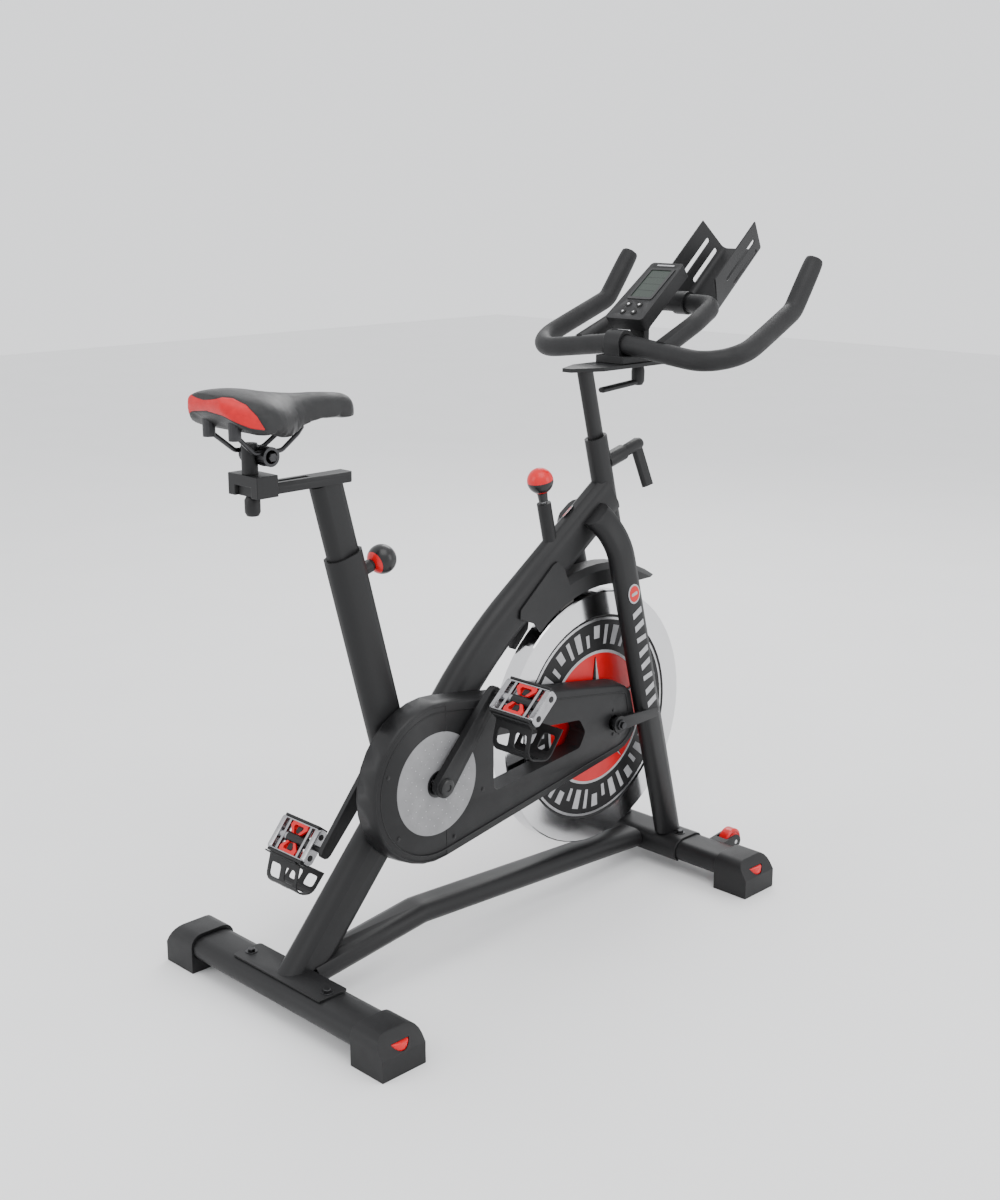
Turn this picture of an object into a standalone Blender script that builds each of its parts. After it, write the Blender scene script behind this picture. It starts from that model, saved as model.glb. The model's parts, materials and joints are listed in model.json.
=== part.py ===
"""Indoor exercise bike with a belt-driven flywheel.

Units are metres and +Z is up. The rider faces -Y, the rider's right side is -X.
The origin lies on the floor under the middle of the bike's bounding box.
Lengthwise places are given as "s", the distance forward from the rear foot's back face;
at(x, s, z) turns them into world coordinates.
"""
import math

import bmesh
import bpy
from mathutils import Vector

GAP = 0.0003                      # clearance kept between pieces that touch
REAR_S = -0.0665                  # back end of the saddle
FRONT_S = 1.1374                  # front end of the media rack
ORIGIN_S = (REAR_S + FRONT_S) / 2
AXIS_X = Vector((1, 0, 0))

# Feet
FOOT_HALF_WIDTH = 0.268
FOOT_S = {"rear": 0.0, "front": 0.854}
CAP_LENGTH = 0.071                # along X
CAP_DEPTH = 0.083                 # along Y
CAP_HEIGHT = 0.0645
FOOT_TUBE_DEPTH = 0.078
FOOT_TUBE_HEIGHT = 0.038
FOOT_TUBE_Z = 0.0395
SOCKET_DEPTH = 0.018
LEVELER_X = 0.2445
LEVELER_RADIUS = 0.0215
LEVELER_HALF_HEIGHT = 0.0062
LEVELER_Z = 0.0412
BRACKET_HALF_WIDTH = 0.106
BRACKET_WALL = 0.003
TRANSPORT_X = 0.1455

# Frame tubes: flat-oval sections, width across X and depth in the side plane
MAIN_SECTION = (0.042, 0.0762)
MAIN_PATH = [(0.040, 0.022), (0.459, 0.495), (0.768, 0.711)]
MAIN_BEND = 0.85
FOOT_PLATE_Z = FOOT_TUBE_Z + FOOT_TUBE_HEIGHT / 2 + GAP
STRUT_SECTION = (0.060, 0.035)
STRUT_PATH = [(0.0815, 0.0470), (0.3104, 0.0744), (0.853, 0.0440)]
STRUT_BEND = 0.10
SEAT_TUBE_SECTION = (0.040, 0.067)
SEAT_TUBE_PATH = [(0.2645, 0.349), (0.1719, 0.6989)]
HEAD_SECTION = (0.030, 0.0445)
HEAD_PATH = [(0.7865, 0.624), (0.7377, 0.8135)]
LEG_SECTION = (0.030, 0.0545)
LEG_PATH = [(0.059, 0.8903, 0.0625), (0.059, 0.7310, 0.6550), (0.0040, 0.6930, 0.7090)]
LEG_BEND = 0.13
LEG_TOP = 0.014                   # cut above the middle line of the main tube
AXLE_PLATE_X = {"right": 0.0700, "left": 0.0520}
AXLE_PLATE_THICKNESS = 0.005
AXLE_STRAP_HALF = 0.0085          # half height of the strap from the leg to the axle
SLIDE_FIT = 0.0006                # clearance of a post in its sleeve
PIN_DROP = 0.0385                 # of the seat pin below the top of the seat tube
CLAMP_DROP = 0.0520               # of the clamp screw below the top of the head tube
BRAKE_SLEEVE = (0.0600, 0.1600)   # span of the sleeve along the brake rod
ROD_RADIUS = 0.0052
ROD_BORE = 0.0058
BOSS_LENGTH = 0.0385              # of the clamp nut ahead of the head tube
BRAKE_ROD = [(0.6456, 0.5600), (0.6000, 0.7549)]

# Drive train
CRANK_S, CRANK_Z = 0.3032, 0.3141
CRANK_LENGTH = 0.170
CRANK_ANGLE = math.radians(41.3)  # right crank, forward of straight up
CRANK_X = {"right": 0.0740, "left": 0.0875}
CRANK_THICKNESS = {"right": 0.0130, "left": 0.0095}
CRANK_RADII = {"right": (0.0185, 0.0125), "left": (0.0165, 0.0105)}
WHEEL_S, WHEEL_Z = 0.7308, 0.3120
WHEEL_RADIUS = 0.230
WHEEL_HALF_WIDTH = 0.0172
WEB_RADIUS = 0.1872
AXLE_BORE = 0.0085
PULLEY_X = -0.0385                # middle of the belt
PULLEY_HALF_WIDTH = 0.0075
DRIVE_RADIUS = 0.1000
DRIVEN_RADIUS = 0.0250
BELT_THICKNESS = 0.0035
COVER_INNER_X = -0.0240
COVER_OUTER_X = -0.0600
COVER_WALL = 0.0022
COVER_REAR_RADIUS = 0.1368
COVER_FRONT_RADIUS = 0.0680
COVER_LEG_GAP = 0.0020            # between the cover's flat front end and the fork leg
COVER_DRAFT = 0.0075              # how much smaller the outer face is than the rim
COVER_FRONT_S = 0.7335
COVER_FRONT_Z = 0.3155
WINDOW = [(0.430, 0.266), (0.640, 0.288), (0.655, 0.314), (0.640, 0.339), (0.430, 0.362)]
PEDAL_TILT = {"right": math.radians(42), "left": math.radians(50)}
PEDAL_OFFSET = {"right": 0.0660, "left": 0.0720}  # pedal middle beyond its crank arm
PEDAL_WIDTH = 0.096
PEDAL_LENGTH = 0.068
PEDAL_HEIGHT = 0.022
CAGE_WIDTH = 0.080
CAGE_SHIFT = {"right": 0.0040, "left": 0.0100}
CAGE_WINDOW_X = 0.0190
CAGE_BEND = {"right": [(0.042, 0.034), (0.014, 0.076), (-0.040, 0.066)],
             "left": [(0.044, 0.026), (0.030, 0.060), (-0.010, 0.062)]}

# Seat
SEAT_POST_SECTION = (0.030, 0.0565)
SEAT_POST_LENGTH = 0.300
SEAT_BAR_Z = (0.8108, 0.8258)
SEAT_BAR_HALF = 0.0185
RAIL_RADIUS = 0.0034
RAIL_X = 0.0220
RAIL_Z = 0.8735
# Saddle stations: s, half width, crown height, skirt height
SADDLE = [(-0.0665, 0.0380, 0.9625, 0.9440), (-0.0560, 0.0535, 0.9650, 0.9240),
          (-0.0360, 0.0705, 0.9650, 0.9100), (-0.0120, 0.0775, 0.9630, 0.9045),
          (0.0150, 0.0725, 0.9575, 0.9025), (0.0350, 0.0620, 0.9535, 0.8935),
          (0.0650, 0.0440, 0.9490, 0.8975), (0.1000, 0.0320, 0.9455, 0.9095),
          (0.1500, 0.0260, 0.9440, 0.9120), (0.1840, 0.0200, 0.9390, 0.9085),
          (0.1965, 0.0070, 0.9260, 0.9105)]
BUMPER = (0.0090, 0.8968)         # radius and underside of the saddle's rear bumpers
BUMPER_X, BUMPER_S = 0.0300, -0.0370

# Handlebar
BAR_POST_SECTION = (0.020, 0.031)
BAR_POST_LENGTH = 0.215
BAR_PLATE_Z = 0.9360
BOLT_S = 0.8470
BAR_RADIUS = 0.0175
BAR_PATH = [(0.0, 0.7941, 0.9703), (0.2326, 0.7985, 0.9413), (0.210, 1.0027, 1.0231),
            (0.2078, 1.0640, 1.1060)]
LOOP_RADIUS = 0.0165
LOOP_PATH = [(0.0900, 0.7980, 0.9640), (0.0860, 0.8930, 1.0010), (0.0700, 0.9680, 1.0280)]
LOOP_FRONT = LOOP_PATH[-1][1:]
CONSOLE_FOOT = (0.8030, 1.0100)
CONSOLE_SLOPE = math.radians(36.6)
CONSOLE_LENGTH = 0.149
CONSOLE_HALF_WIDTHS = (0.0420, 0.0355)
CONSOLE_THICKNESS = 0.0250
SCREEN_ALONG = 0.0930
SCREEN_HALF = (0.0225, 0.0360)
BUTTON_ALONG = (0.0180, 0.0370)
BUTTON_X = (-0.0120, 0.0120)
BUTTON_RADIUS = 0.0055
RACK_FOOT = (1.0148, 1.0087)
RACK_SLOPE = math.radians(41.0)
RACK_LENGTH = 0.1624
RACK_FLOOR_HALF = 0.0430
RACK_WING_HALF = 0.0595
RACK_WING_HEIGHT = 0.0688
RACK_SLOTS = [(0.0385, 0.045, 0.148), (0.0140, 0.062, 0.148)]

SIDES = {"right": -1, "left": 1}


# ---------------------------------------------------------------- places and outlines

def at(x, s, z):
    """World point x across, s forward of the rear foot, z up."""
    return Vector((x, ORIGIN_S - s, z))


def polar(centre, radius, angle):
    """Side-plane point (s, z) at an angle measured from forward towards up."""
    return (centre[0] + radius * math.cos(angle), centre[1] + radius * math.sin(angle))


def arc(centre, radius, start, end, steps):
    """Side-plane points along an arc, ends included."""
    return [polar(centre, radius, start + (end - start) * i / steps) for i in range(steps + 1)]


def oval(width, depth, steps=5):
    """Flat-oval outline with semicircular ends across its longer side."""
    radius = min(width, depth) / 2
    offset = max(width, depth) / 2 - radius
    ends = [(offset, -math.pi / 2), (-offset, math.pi / 2)]
    points = []
    for shift, start in ends:
        for i in range(steps + 1):
            angle = start + math.pi * i / steps
            points.append((shift + radius * math.cos(angle), radius * math.sin(angle)))
    if depth > width:
        points = [(-v, u) for u, v in points]
    return points


def ring_outline(radius, steps):
    """Regular polygon standing in for a circle."""
    return [(radius * math.cos(2 * math.pi * i / steps), radius * math.sin(2 * math.pi * i / steps))
            for i in range(steps)]


def rounded_box(width, depth, radius, steps=2):
    """Rectangle outline with rounded corners, centred on zero."""
    points = []
    for quarter, (sx, sy) in enumerate([(1, 1), (-1, 1), (-1, -1), (1, -1)]):
        centre = (sx * (width / 2 - radius), sy * (depth / 2 - radius))
        for i in range(steps + 1):
            angle = math.pi / 2 * (quarter + i / steps)
            points.append((centre[0] + radius * math.cos(angle), centre[1] + radius * math.sin(angle)))
    return points


def rounded_path(corners, radii, steps=6):
    """Straight runs joined by arcs of the given radii, one for each inner corner."""
    points = [corners[0]]
    for before, corner, after, radius in zip(corners, corners[1:], corners[2:], radii):
        to_before = (before - corner).normalized()
        to_after = (after - corner).normalized()
        half_angle = to_before.angle(to_after) / 2
        centre = corner + (to_before + to_after).normalized() * (radius / math.sin(half_angle))
        reach = radius / math.tan(half_angle)
        start = (corner + to_before * reach - centre).normalized()
        end = (corner + to_after * reach - centre).normalized()
        for i in range(steps + 1):
            points.append(centre + start.slerp(end, i / steps) * radius)
    points.append(corners[-1])
    return points


def extended(path, start=0.0, end=0.0):
    """The same path with its ends drawn out along their own directions."""
    first = path[0] + (path[0] - path[1]).normalized() * start
    last = path[-1] + (path[-1] - path[-2]).normalized() * end
    return [first] + path[1:-1] + [last]


# ---------------------------------------------------------------- solids

def close_rings(mesh, rings, loop=False):
    """Skin a row of vertex rings; the ends are capped unless the row closes on itself."""
    pairs = list(zip(rings, rings[1:]))
    if loop:
        pairs.append((rings[-1], rings[0]))
    for first, second in pairs:
        count = len(first)
        for i in range(count):
            j = (i + 1) % count
            mesh.faces.new((first[i], first[j], second[j], second[i]))
    if not loop:
        mesh.faces.new(rings[0][::-1])
        mesh.faces.new(rings[-1])
    bmesh.ops.recalc_face_normals(mesh, faces=mesh.faces)
    return mesh


def sweep(path, profile, across=None, loop=False):
    """Carry a profile of (across, up) pairs along a path."""
    mesh = bmesh.new()
    side = across or (path[1] - path[0]).orthogonal()
    rings = []
    count = len(path)
    for i, point in enumerate(path):
        before = path[i - 1] if loop or i else point
        after = path[(i + 1) % count] if loop or i < count - 1 else point
        tangent = (after - before).normalized()
        side = ((across or side) - (across or side).project(tangent)).normalized()
        up = tangent.cross(side)
        rings.append([mesh.verts.new(point + side * u + up * v) for u, v in profile])
    return close_rings(mesh, rings, loop)


def turn(profile, centre, axis, steps, loop=False):
    """Turn a profile of (radius, height along the axis) pairs about an axis."""
    mesh = bmesh.new()
    axis = Vector(axis).normalized()
    side = axis.orthogonal().normalized()
    up = axis.cross(side)
    rings = []
    for i in range(steps):
        angle = 2 * math.pi * i / steps
        spoke = side * math.cos(angle) + up * math.sin(angle)
        rings.append([mesh.verts.new(centre + spoke * radius + axis * height)
                      for radius, height in profile])
    if loop:
        return close_rings(mesh, rings, loop=True)
    for first, second in zip(rings, rings[1:] + rings[:1]):
        for i in range(len(profile) - 1):
            mesh.faces.new((first[i], first[i + 1], second[i + 1], second[i]))
    mesh.faces.new([ring[0] for ring in rings][::-1])
    mesh.faces.new([ring[-1] for ring in rings])
    bmesh.ops.recalc_face_normals(mesh, faces=mesh.faces)
    return mesh


def plate(outline, thickness_from, thickness_to):
    """Extrude a side-plane outline of (s, z) pairs between two places across X."""
    mesh = bmesh.new()
    rings = [[mesh.verts.new(at(x, s, z)) for s, z in outline]
             for x in (thickness_from, thickness_to)]
    return close_rings(mesh, rings)


def slab(outline, centre, u_axis, v_axis, low, high):
    """Extrude an outline of (u, v) pairs along the normal of the plane of two axes."""
    mesh = bmesh.new()
    u_axis = Vector(u_axis).normalized()
    v_axis = Vector(v_axis).normalized()
    normal = u_axis.cross(v_axis)
    rings = [[mesh.verts.new(centre + u_axis * u + v_axis * v + normal * h) for u, v in outline]
             for h in (low, high)]
    return close_rings(mesh, rings)


def block(low, high):
    """Box between two (x, s, z) corners."""
    x0, s0, z0 = low
    x1, s1, z1 = high
    return plate([(s0, z0), (s1, z0), (s1, z1), (s0, z1)], x0, x1)


def trim(mesh, point, normal):
    """Cut away what lies on the side that the normal points to, and close the cut."""
    geometry = mesh.verts[:] + mesh.edges[:] + mesh.faces[:]
    bmesh.ops.bisect_plane(mesh, geom=geometry, plane_co=point, plane_no=normal, clear_outer=True)
    open_edges = [edge for edge in mesh.edges if edge.is_boundary]
    bmesh.ops.holes_fill(mesh, edges=open_edges)
    bmesh.ops.recalc_face_normals(mesh, faces=mesh.faces)
    return mesh


# ---------------------------------------------------------------- objects

FINISHES = {
    "frame_paint": ((0.030, 0.031, 0.032), 0.38, 0.0),
    "black_plastic": ((0.014, 0.014, 0.015), 0.50, 0.0),
    "cover_plastic": ((0.012, 0.012, 0.013), 0.42, 0.0),
    "red_plastic": ((0.62, 0.018, 0.022), 0.35, 0.0),
    "chrome": ((0.80, 0.80, 0.81), 0.08, 1.0),
    "steel": ((0.45, 0.45, 0.46), 0.30, 1.0),
    "web_paint": ((0.010, 0.010, 0.011), 0.35, 0.0),
    "alloy": ((0.62, 0.62, 0.63), 0.25, 1.0),
    "rubber": ((0.010, 0.010, 0.010), 0.75, 0.0),
    "grip_rubber": ((0.018, 0.018, 0.018), 0.62, 0.0),
    "saddle_skin": ((0.016, 0.016, 0.017), 0.55, 0.0),
    "screen": ((0.055, 0.070, 0.058), 0.20, 0.0),
    "felt": ((0.020, 0.019, 0.018), 0.95, 0.0),
}


def finish(name):
    """Material of a finish, made once."""
    material = bpy.data.materials.get(name)
    if material is None:
        colour, roughness, metallic = FINISHES[name]
        material = bpy.data.materials.new(name)
        material.use_nodes = True
        shader = material.node_tree.nodes["Principled BSDF"]
        shader.inputs["Base Color"].default_value = (*colour, 1)
        shader.inputs["Roughness"].default_value = roughness
        shader.inputs["Metallic"].default_value = metallic
    return material


def add(name, mesh, finish_name, pivot=None):
    """Turn a bmesh into a named object, with its origin on the pivot of its joint."""
    pivot = pivot or Vector((0, 0, 0))
    bmesh.ops.translate(mesh, verts=mesh.verts, vec=-pivot)
    data = bpy.data.meshes.new(name)
    mesh.to_mesh(data)
    mesh.free()
    data.shade_smooth()
    data.set_sharp_from_angle(angle=math.radians(35))
    piece = bpy.data.objects.new(name, data)
    piece.location = pivot
    bpy.context.scene.collection.objects.link(piece)
    data.materials.append(finish(finish_name))
    return piece


def combine(piece, mesh, operation):
    """Cut a solid out of a piece, or join it on, through a hidden guide."""
    data = bpy.data.meshes.new(piece.name + "_guide")
    mesh.to_mesh(data)
    mesh.free()
    guide = bpy.data.objects.new(data.name, data)
    guide.hide_render = True
    guide.display_type = "WIRE"
    bpy.context.scene.collection.objects.link(guide)
    modifier = piece.modifiers.new(operation.lower(), "BOOLEAN")
    modifier.operation = operation
    modifier.solver = "EXACT"
    modifier.object = guide
    return piece


def cut(piece, mesh):
    return combine(piece, mesh, "DIFFERENCE")


def weld(piece, mesh):
    return combine(piece, mesh, "UNION")


# ---------------------------------------------------------------- shared paths

def side_path(points, x=0.0):
    return [at(x, s, z) for s, z in points]


def grown(section, amount):
    """A section with a clearance added all round."""
    return (section[0] + 2 * amount, section[1] + 2 * amount)


def run_axis(run):
    return (run[1] - run[0]).normalized()


MAIN_RUN = rounded_path(side_path(MAIN_PATH), [MAIN_BEND], 8)
SEAT_RUN = side_path(SEAT_TUBE_PATH)
HEAD_RUN = side_path(HEAD_PATH)
SEAT_UP = run_axis(SEAT_RUN)
HEAD_UP = run_axis(HEAD_RUN)
SEAT_TOP = SEAT_RUN[1] + SEAT_UP * ((SEAT_BAR_Z[0] + 0.003 - SEAT_RUN[1].z) / SEAT_UP.z)
HEAD_TOP = HEAD_RUN[1] + HEAD_UP * ((BAR_PLATE_Z - 0.003 - HEAD_RUN[1].z) / HEAD_UP.z)
CRANK_CENTRE = at(0, CRANK_S, CRANK_Z)
WHEEL_CENTRE = at(0, WHEEL_S, WHEEL_Z)
TILT_CENTRE = at(0, 0.0245, 0.8670)
BAR_CENTRE = at(*BAR_PATH[0])

# Axes of the clamp screw, the seat pin and the brake rod
PIN_AXIS = Vector((0, -SEAT_UP.z, SEAT_UP.y))
PIN_CENTRE = SEAT_RUN[1] - SEAT_UP * PIN_DROP + PIN_AXIS * (SEAT_TUBE_SECTION[1] / 2)
CLAMP_AXIS = Vector((0, -HEAD_UP.z, HEAD_UP.y))
CLAMP_ROOT = HEAD_RUN[1] - HEAD_UP * CLAMP_DROP
BRAKE_LOW = at(0, *BRAKE_ROD[0])
BRAKE_UP = (at(0, *BRAKE_ROD[1]) - BRAKE_LOW).normalized()

CONSOLE_UP = Vector((0, -math.cos(CONSOLE_SLOPE), math.sin(CONSOLE_SLOPE)))
CONSOLE_OUT = CONSOLE_UP.cross(AXIS_X)
RACK_ALONG = Vector((0, -math.cos(RACK_SLOPE), math.sin(RACK_SLOPE)))
RACK_OUT = RACK_ALONG.cross(AXIS_X)


def main_envelope(clearance):
    return sweep(extended(MAIN_RUN, 0.05, 0.0), oval(*grown(MAIN_SECTION, clearance)), AXIS_X)


def head_envelope(clearance):
    return sweep(extended(HEAD_RUN, 0.03, 0.03), oval(*grown(HEAD_SECTION, clearance)), AXIS_X)


def foot_tube(end, half_length, clearance=0.0):
    """Stabiliser tube solid of an end, centred across the bike."""
    middle = FOOT_S[end] + CAP_DEPTH / 2
    run = [at(-half_length, middle, FOOT_TUBE_Z), at(half_length, middle, FOOT_TUBE_Z)]
    return sweep(run, oval(*grown((FOOT_TUBE_DEPTH, FOOT_TUBE_HEIGHT), clearance)), Vector((0, 1, 0)))


def brake_cylinder(radius, low, high, steps=12):
    """Round solid on the brake rod's axis, between two heights above its lower end."""
    return turn([(radius, low), (radius, high)], BRAKE_LOW, BRAKE_UP, steps)


# ---------------------------------------------------------------- feet

def cap_outline(s):
    """Side outline of an end cap: square at the floor, rounded at the top."""
    shoulder = 0.020
    low = CAP_HEIGHT - shoulder
    outline = [(s, 0.0), (s + CAP_DEPTH, 0.0)]
    outline += arc((s + CAP_DEPTH - shoulder, low), shoulder, 0, math.pi / 2, 4)
    outline += arc((s + shoulder, low), shoulder, math.pi / 2, math.pi, 4)
    return outline


def build_foot(end):
    """Stabiliser tube with its two end caps and their levelling thumbwheels."""
    s = FOOT_S[end]
    middle = s + CAP_DEPTH / 2
    inner_x = FOOT_HALF_WIDTH - CAP_LENGTH
    add(end + "_stabilizer", foot_tube(end, inner_x + SOCKET_DEPTH - GAP), "frame_paint")
    for side, sign in SIDES.items():
        cap = plate(cap_outline(s), sign * inner_x, sign * FOOT_HALF_WIDTH)
        trim(cap, at(sign * FOOT_HALF_WIDTH, s, 0.034), Vector((sign * 0.83, 0, 0.56)))
        cap = add(f"{end}_cap_{side}", cap, "black_plastic")
        cut(cap, foot_tube(end, inner_x + SOCKET_DEPTH, GAP))
        centre = at(sign * LEVELER_X, middle, LEVELER_Z)
        radius, half = LEVELER_RADIUS, LEVELER_HALF_HEIGHT
        slot = 0.0009
        bore = [(0.0066, -LEVELER_Z - 0.01), (0.0066, -half - slot), (radius + slot, -half - slot),
                (radius + slot, half + slot)]
        cut(cap, turn(bore, centre, (0, 0, 1), 24))
        wheel = [(0.0056, 0.002 - LEVELER_Z), (0.0056, -half), (radius - 0.001, -half),
                 (radius, -half + 0.0012), (radius, half - 0.0012), (radius - 0.001, half)]
        add(f"leveler_{end}_{side}", turn(wheel, centre, (0, 0, 1), 24), "red_plastic", centre)


def build_front_bracket():
    """Steel saddle over the front stabiliser that carries the fork legs."""
    bracket = foot_tube("front", BRACKET_HALF_WIDTH, BRACKET_WALL + GAP)
    bracket = add("front_mount_bracket", bracket, "frame_paint")
    cut(bracket, foot_tube("front", BRACKET_HALF_WIDTH + 0.01, GAP))
    middle = FOOT_S["front"] + CAP_DEPTH / 2
    cut(bracket, block((-0.2, middle - 0.028, 0.0), (0.2, middle + 0.028, FOOT_TUBE_Z)))


def build_transport(side):
    """Small wheel in a fork on the front face of the front stabiliser."""
    x = SIDES[side] * TRANSPORT_X
    front = FOOT_S["front"] + (CAP_DEPTH + FOOT_TUBE_DEPTH) / 2
    axle = (front + 0.033, FOOT_TUBE_Z + 0.005)
    centre = at(x, *axle)
    cheek = [(front - 0.006, FOOT_TUBE_Z - 0.0115)]
    cheek += arc(axle, 0.0135, -math.pi / 2, math.pi / 2, 6)
    cheek += [(front - 0.006, FOOT_TUBE_Z + 0.0145)]
    bracket = add(f"transport_bracket_{side}", plate(cheek, x - 0.0165, x + 0.0165), "black_plastic")
    cut(bracket, turn([(0.0265, -0.0118), (0.0265, 0.0118)], centre, AXIS_X, 20))
    cut(bracket, foot_tube("front", 0.19, GAP))
    cut(bracket, turn([(0.0044, -0.03), (0.0044, 0.03)], centre, AXIS_X, 12))
    wheel = [(0.0040, -0.0160), (0.0040, -0.0105), (0.0190, -0.0105), (0.0235, -0.0085),
             (0.0235, 0.0085), (0.0190, 0.0105), (0.0040, 0.0105), (0.0040, 0.0160)]
    add(f"transport_wheel_{side}", turn(wheel, centre, AXIS_X, 20), "red_plastic", centre)


# ---------------------------------------------------------------- frame

def build_main_tube():
    """Curved main tube with its foot plate, crank shell and brake sleeve welded on."""
    tube = sweep(MAIN_RUN, oval(*MAIN_SECTION), AXIS_X)
    trim(tube, at(0, 0, FOOT_PLATE_Z), Vector((0, 0, -1)))
    tube = add("main_tube", tube, "frame_paint")
    weld(tube, slab(rounded_box(0.216, 0.054, 0.004), at(0, 0.0440, FOOT_PLATE_Z), AXIS_X, (0, 1, 0),
                    0, 0.0032))
    weld(tube, turn([(0.0215, -0.0218), (0.0215, 0.034)], CRANK_CENTRE, AXIS_X, 20))
    weld(tube, brake_cylinder(0.0122, *BRAKE_SLEEVE))
    cut(tube, turn([(0.0090, -0.05), (0.0090, 0.05)], CRANK_CENTRE, AXIS_X, 16))
    cut(tube, brake_cylinder(ROD_BORE, -0.03, 0.20))
    cut(tube, head_envelope(GAP))


def build_strut():
    """Lower tube between the main tube and the front bracket."""
    run = rounded_path(side_path(STRUT_PATH), [STRUT_BEND], 4)
    strut = add("base_strut", sweep(run, oval(*STRUT_SECTION), AXIS_X), "frame_paint")
    cut(strut, main_envelope(GAP))
    cut(strut, foot_tube("rear", 0.1, 0.0040))
    cut(strut, foot_tube("front", 0.1, BRACKET_WALL + 2 * GAP))


def build_seat_tube():
    """Sleeve that stands on the main tube, open at the top for the post."""
    tube = add("seat_tube", sweep(SEAT_RUN, oval(*SEAT_TUBE_SECTION), AXIS_X), "frame_paint")
    cut(tube, main_envelope(GAP))
    bore = [SEAT_RUN[1] - SEAT_UP * 0.300, SEAT_RUN[1] + SEAT_UP * 0.02]
    cut(tube, sweep(bore, oval(*grown(SEAT_POST_SECTION, SLIDE_FIT)), AXIS_X))
    weld(tube, turn([(0.0105, -0.004), (0.0105, 0.010)], PIN_CENTRE, PIN_AXIS, 14))
    cut(tube, turn([(0.0050, -0.007), (0.0050, 0.02)], PIN_CENTRE, PIN_AXIS, 12))


def build_seat_pin():
    """Pull knob whose pin drops into the seat post's holes."""
    knob = [(0.0045, -0.0050), (0.0045, 0.0125), (0.0080, 0.0125), (0.0080, 0.0180), (0.0155, 0.0195),
            (0.0215, 0.0260), (0.0235, 0.0360), (0.0215, 0.0465), (0.0155, 0.0540), (0.0080, 0.0580)]
    add("seat_pin_knob", turn(knob, PIN_CENTRE, PIN_AXIS, 20), "black_plastic", PIN_CENTRE)


def build_head_tube():
    """Sleeve for the handlebar post, with a clamp boss near its top."""
    tube = add("head_tube", sweep(HEAD_RUN, oval(*HEAD_SECTION), AXIS_X), "frame_paint")
    half_depth = HEAD_SECTION[1] / 2
    weld(tube, turn([(0.0140, half_depth - 0.006), (0.0140, half_depth + BOSS_LENGTH)], CLAMP_ROOT,
                    CLAMP_AXIS, 16))
    cut(tube, sweep(extended(HEAD_RUN, -0.006, 0.02), oval(*grown(BAR_POST_SECTION, SLIDE_FIT)), AXIS_X))
    cut(tube, turn([(0.0046, 0.0), (0.0046, 0.10)], CLAMP_ROOT, CLAMP_AXIS, 12))


def build_post_lever():
    """Clamp screw of the handlebar post with its hand lever."""
    start = HEAD_SECTION[1] / 2
    hub_start = start + BOSS_LENGTH + GAP
    hub_end = hub_start + 0.0480
    screw = [(0.0042, start - 0.0040), (0.0042, hub_start), (0.0105, hub_start), (0.0118, hub_end - 0.008),
             (0.0090, hub_end)]
    lever = add("post_clamp_lever", turn(screw, CLAMP_ROOT, CLAMP_AXIS, 16), "black_plastic", CLAMP_ROOT)
    hub = CLAMP_ROOT + CLAMP_AXIS * (hub_end - 0.0120)
    tip = hub + Vector((-0.020, -0.012, -0.072))
    weld(lever, sweep([hub, (hub + tip) / 2, tip], rounded_box(0.023, 0.012, 0.003, 1), CLAMP_AXIS))


def build_fork():
    """Two legs from the main tube to the front bracket, with plates for the axle."""
    for side, sign in SIDES.items():
        corners = [at(sign * x, s, z) for x, s, z in LEG_PATH]
        run = rounded_path(corners, [LEG_BEND], 8)
        leg = sweep(extended(run, 0.02, 0.0), oval(*LEG_SECTION), AXIS_X)
        trim(leg, at(0, 0, LEG_PATH[0][2]), Vector((0, 0, -1)))
        main_along = run_axis(MAIN_RUN[-2:])
        main_up = main_along.cross(AXIS_X)
        trim(leg, MAIN_RUN[-1] + main_up * LEG_TOP, main_up)
        leg = add(f"fork_leg_{side}", leg, "frame_paint")
        cut(leg, main_envelope(GAP))
        cut(leg, head_envelope(GAP))
        strap = [(0.835, WHEEL_Z - AXLE_STRAP_HALF), (0.835, WHEEL_Z + AXLE_STRAP_HALF)]
        strap += arc((WHEEL_S, WHEEL_Z), 0.0160, math.radians(50), math.radians(310), 8)
        inner = AXLE_PLATE_X[side]
        weld(leg, plate(strap, sign * inner, sign * (inner + AXLE_PLATE_THICKNESS)))
        cut(leg, turn([(0.0063, -0.09), (0.0063, 0.09)], WHEEL_CENTRE, AXIS_X, 12))


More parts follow.
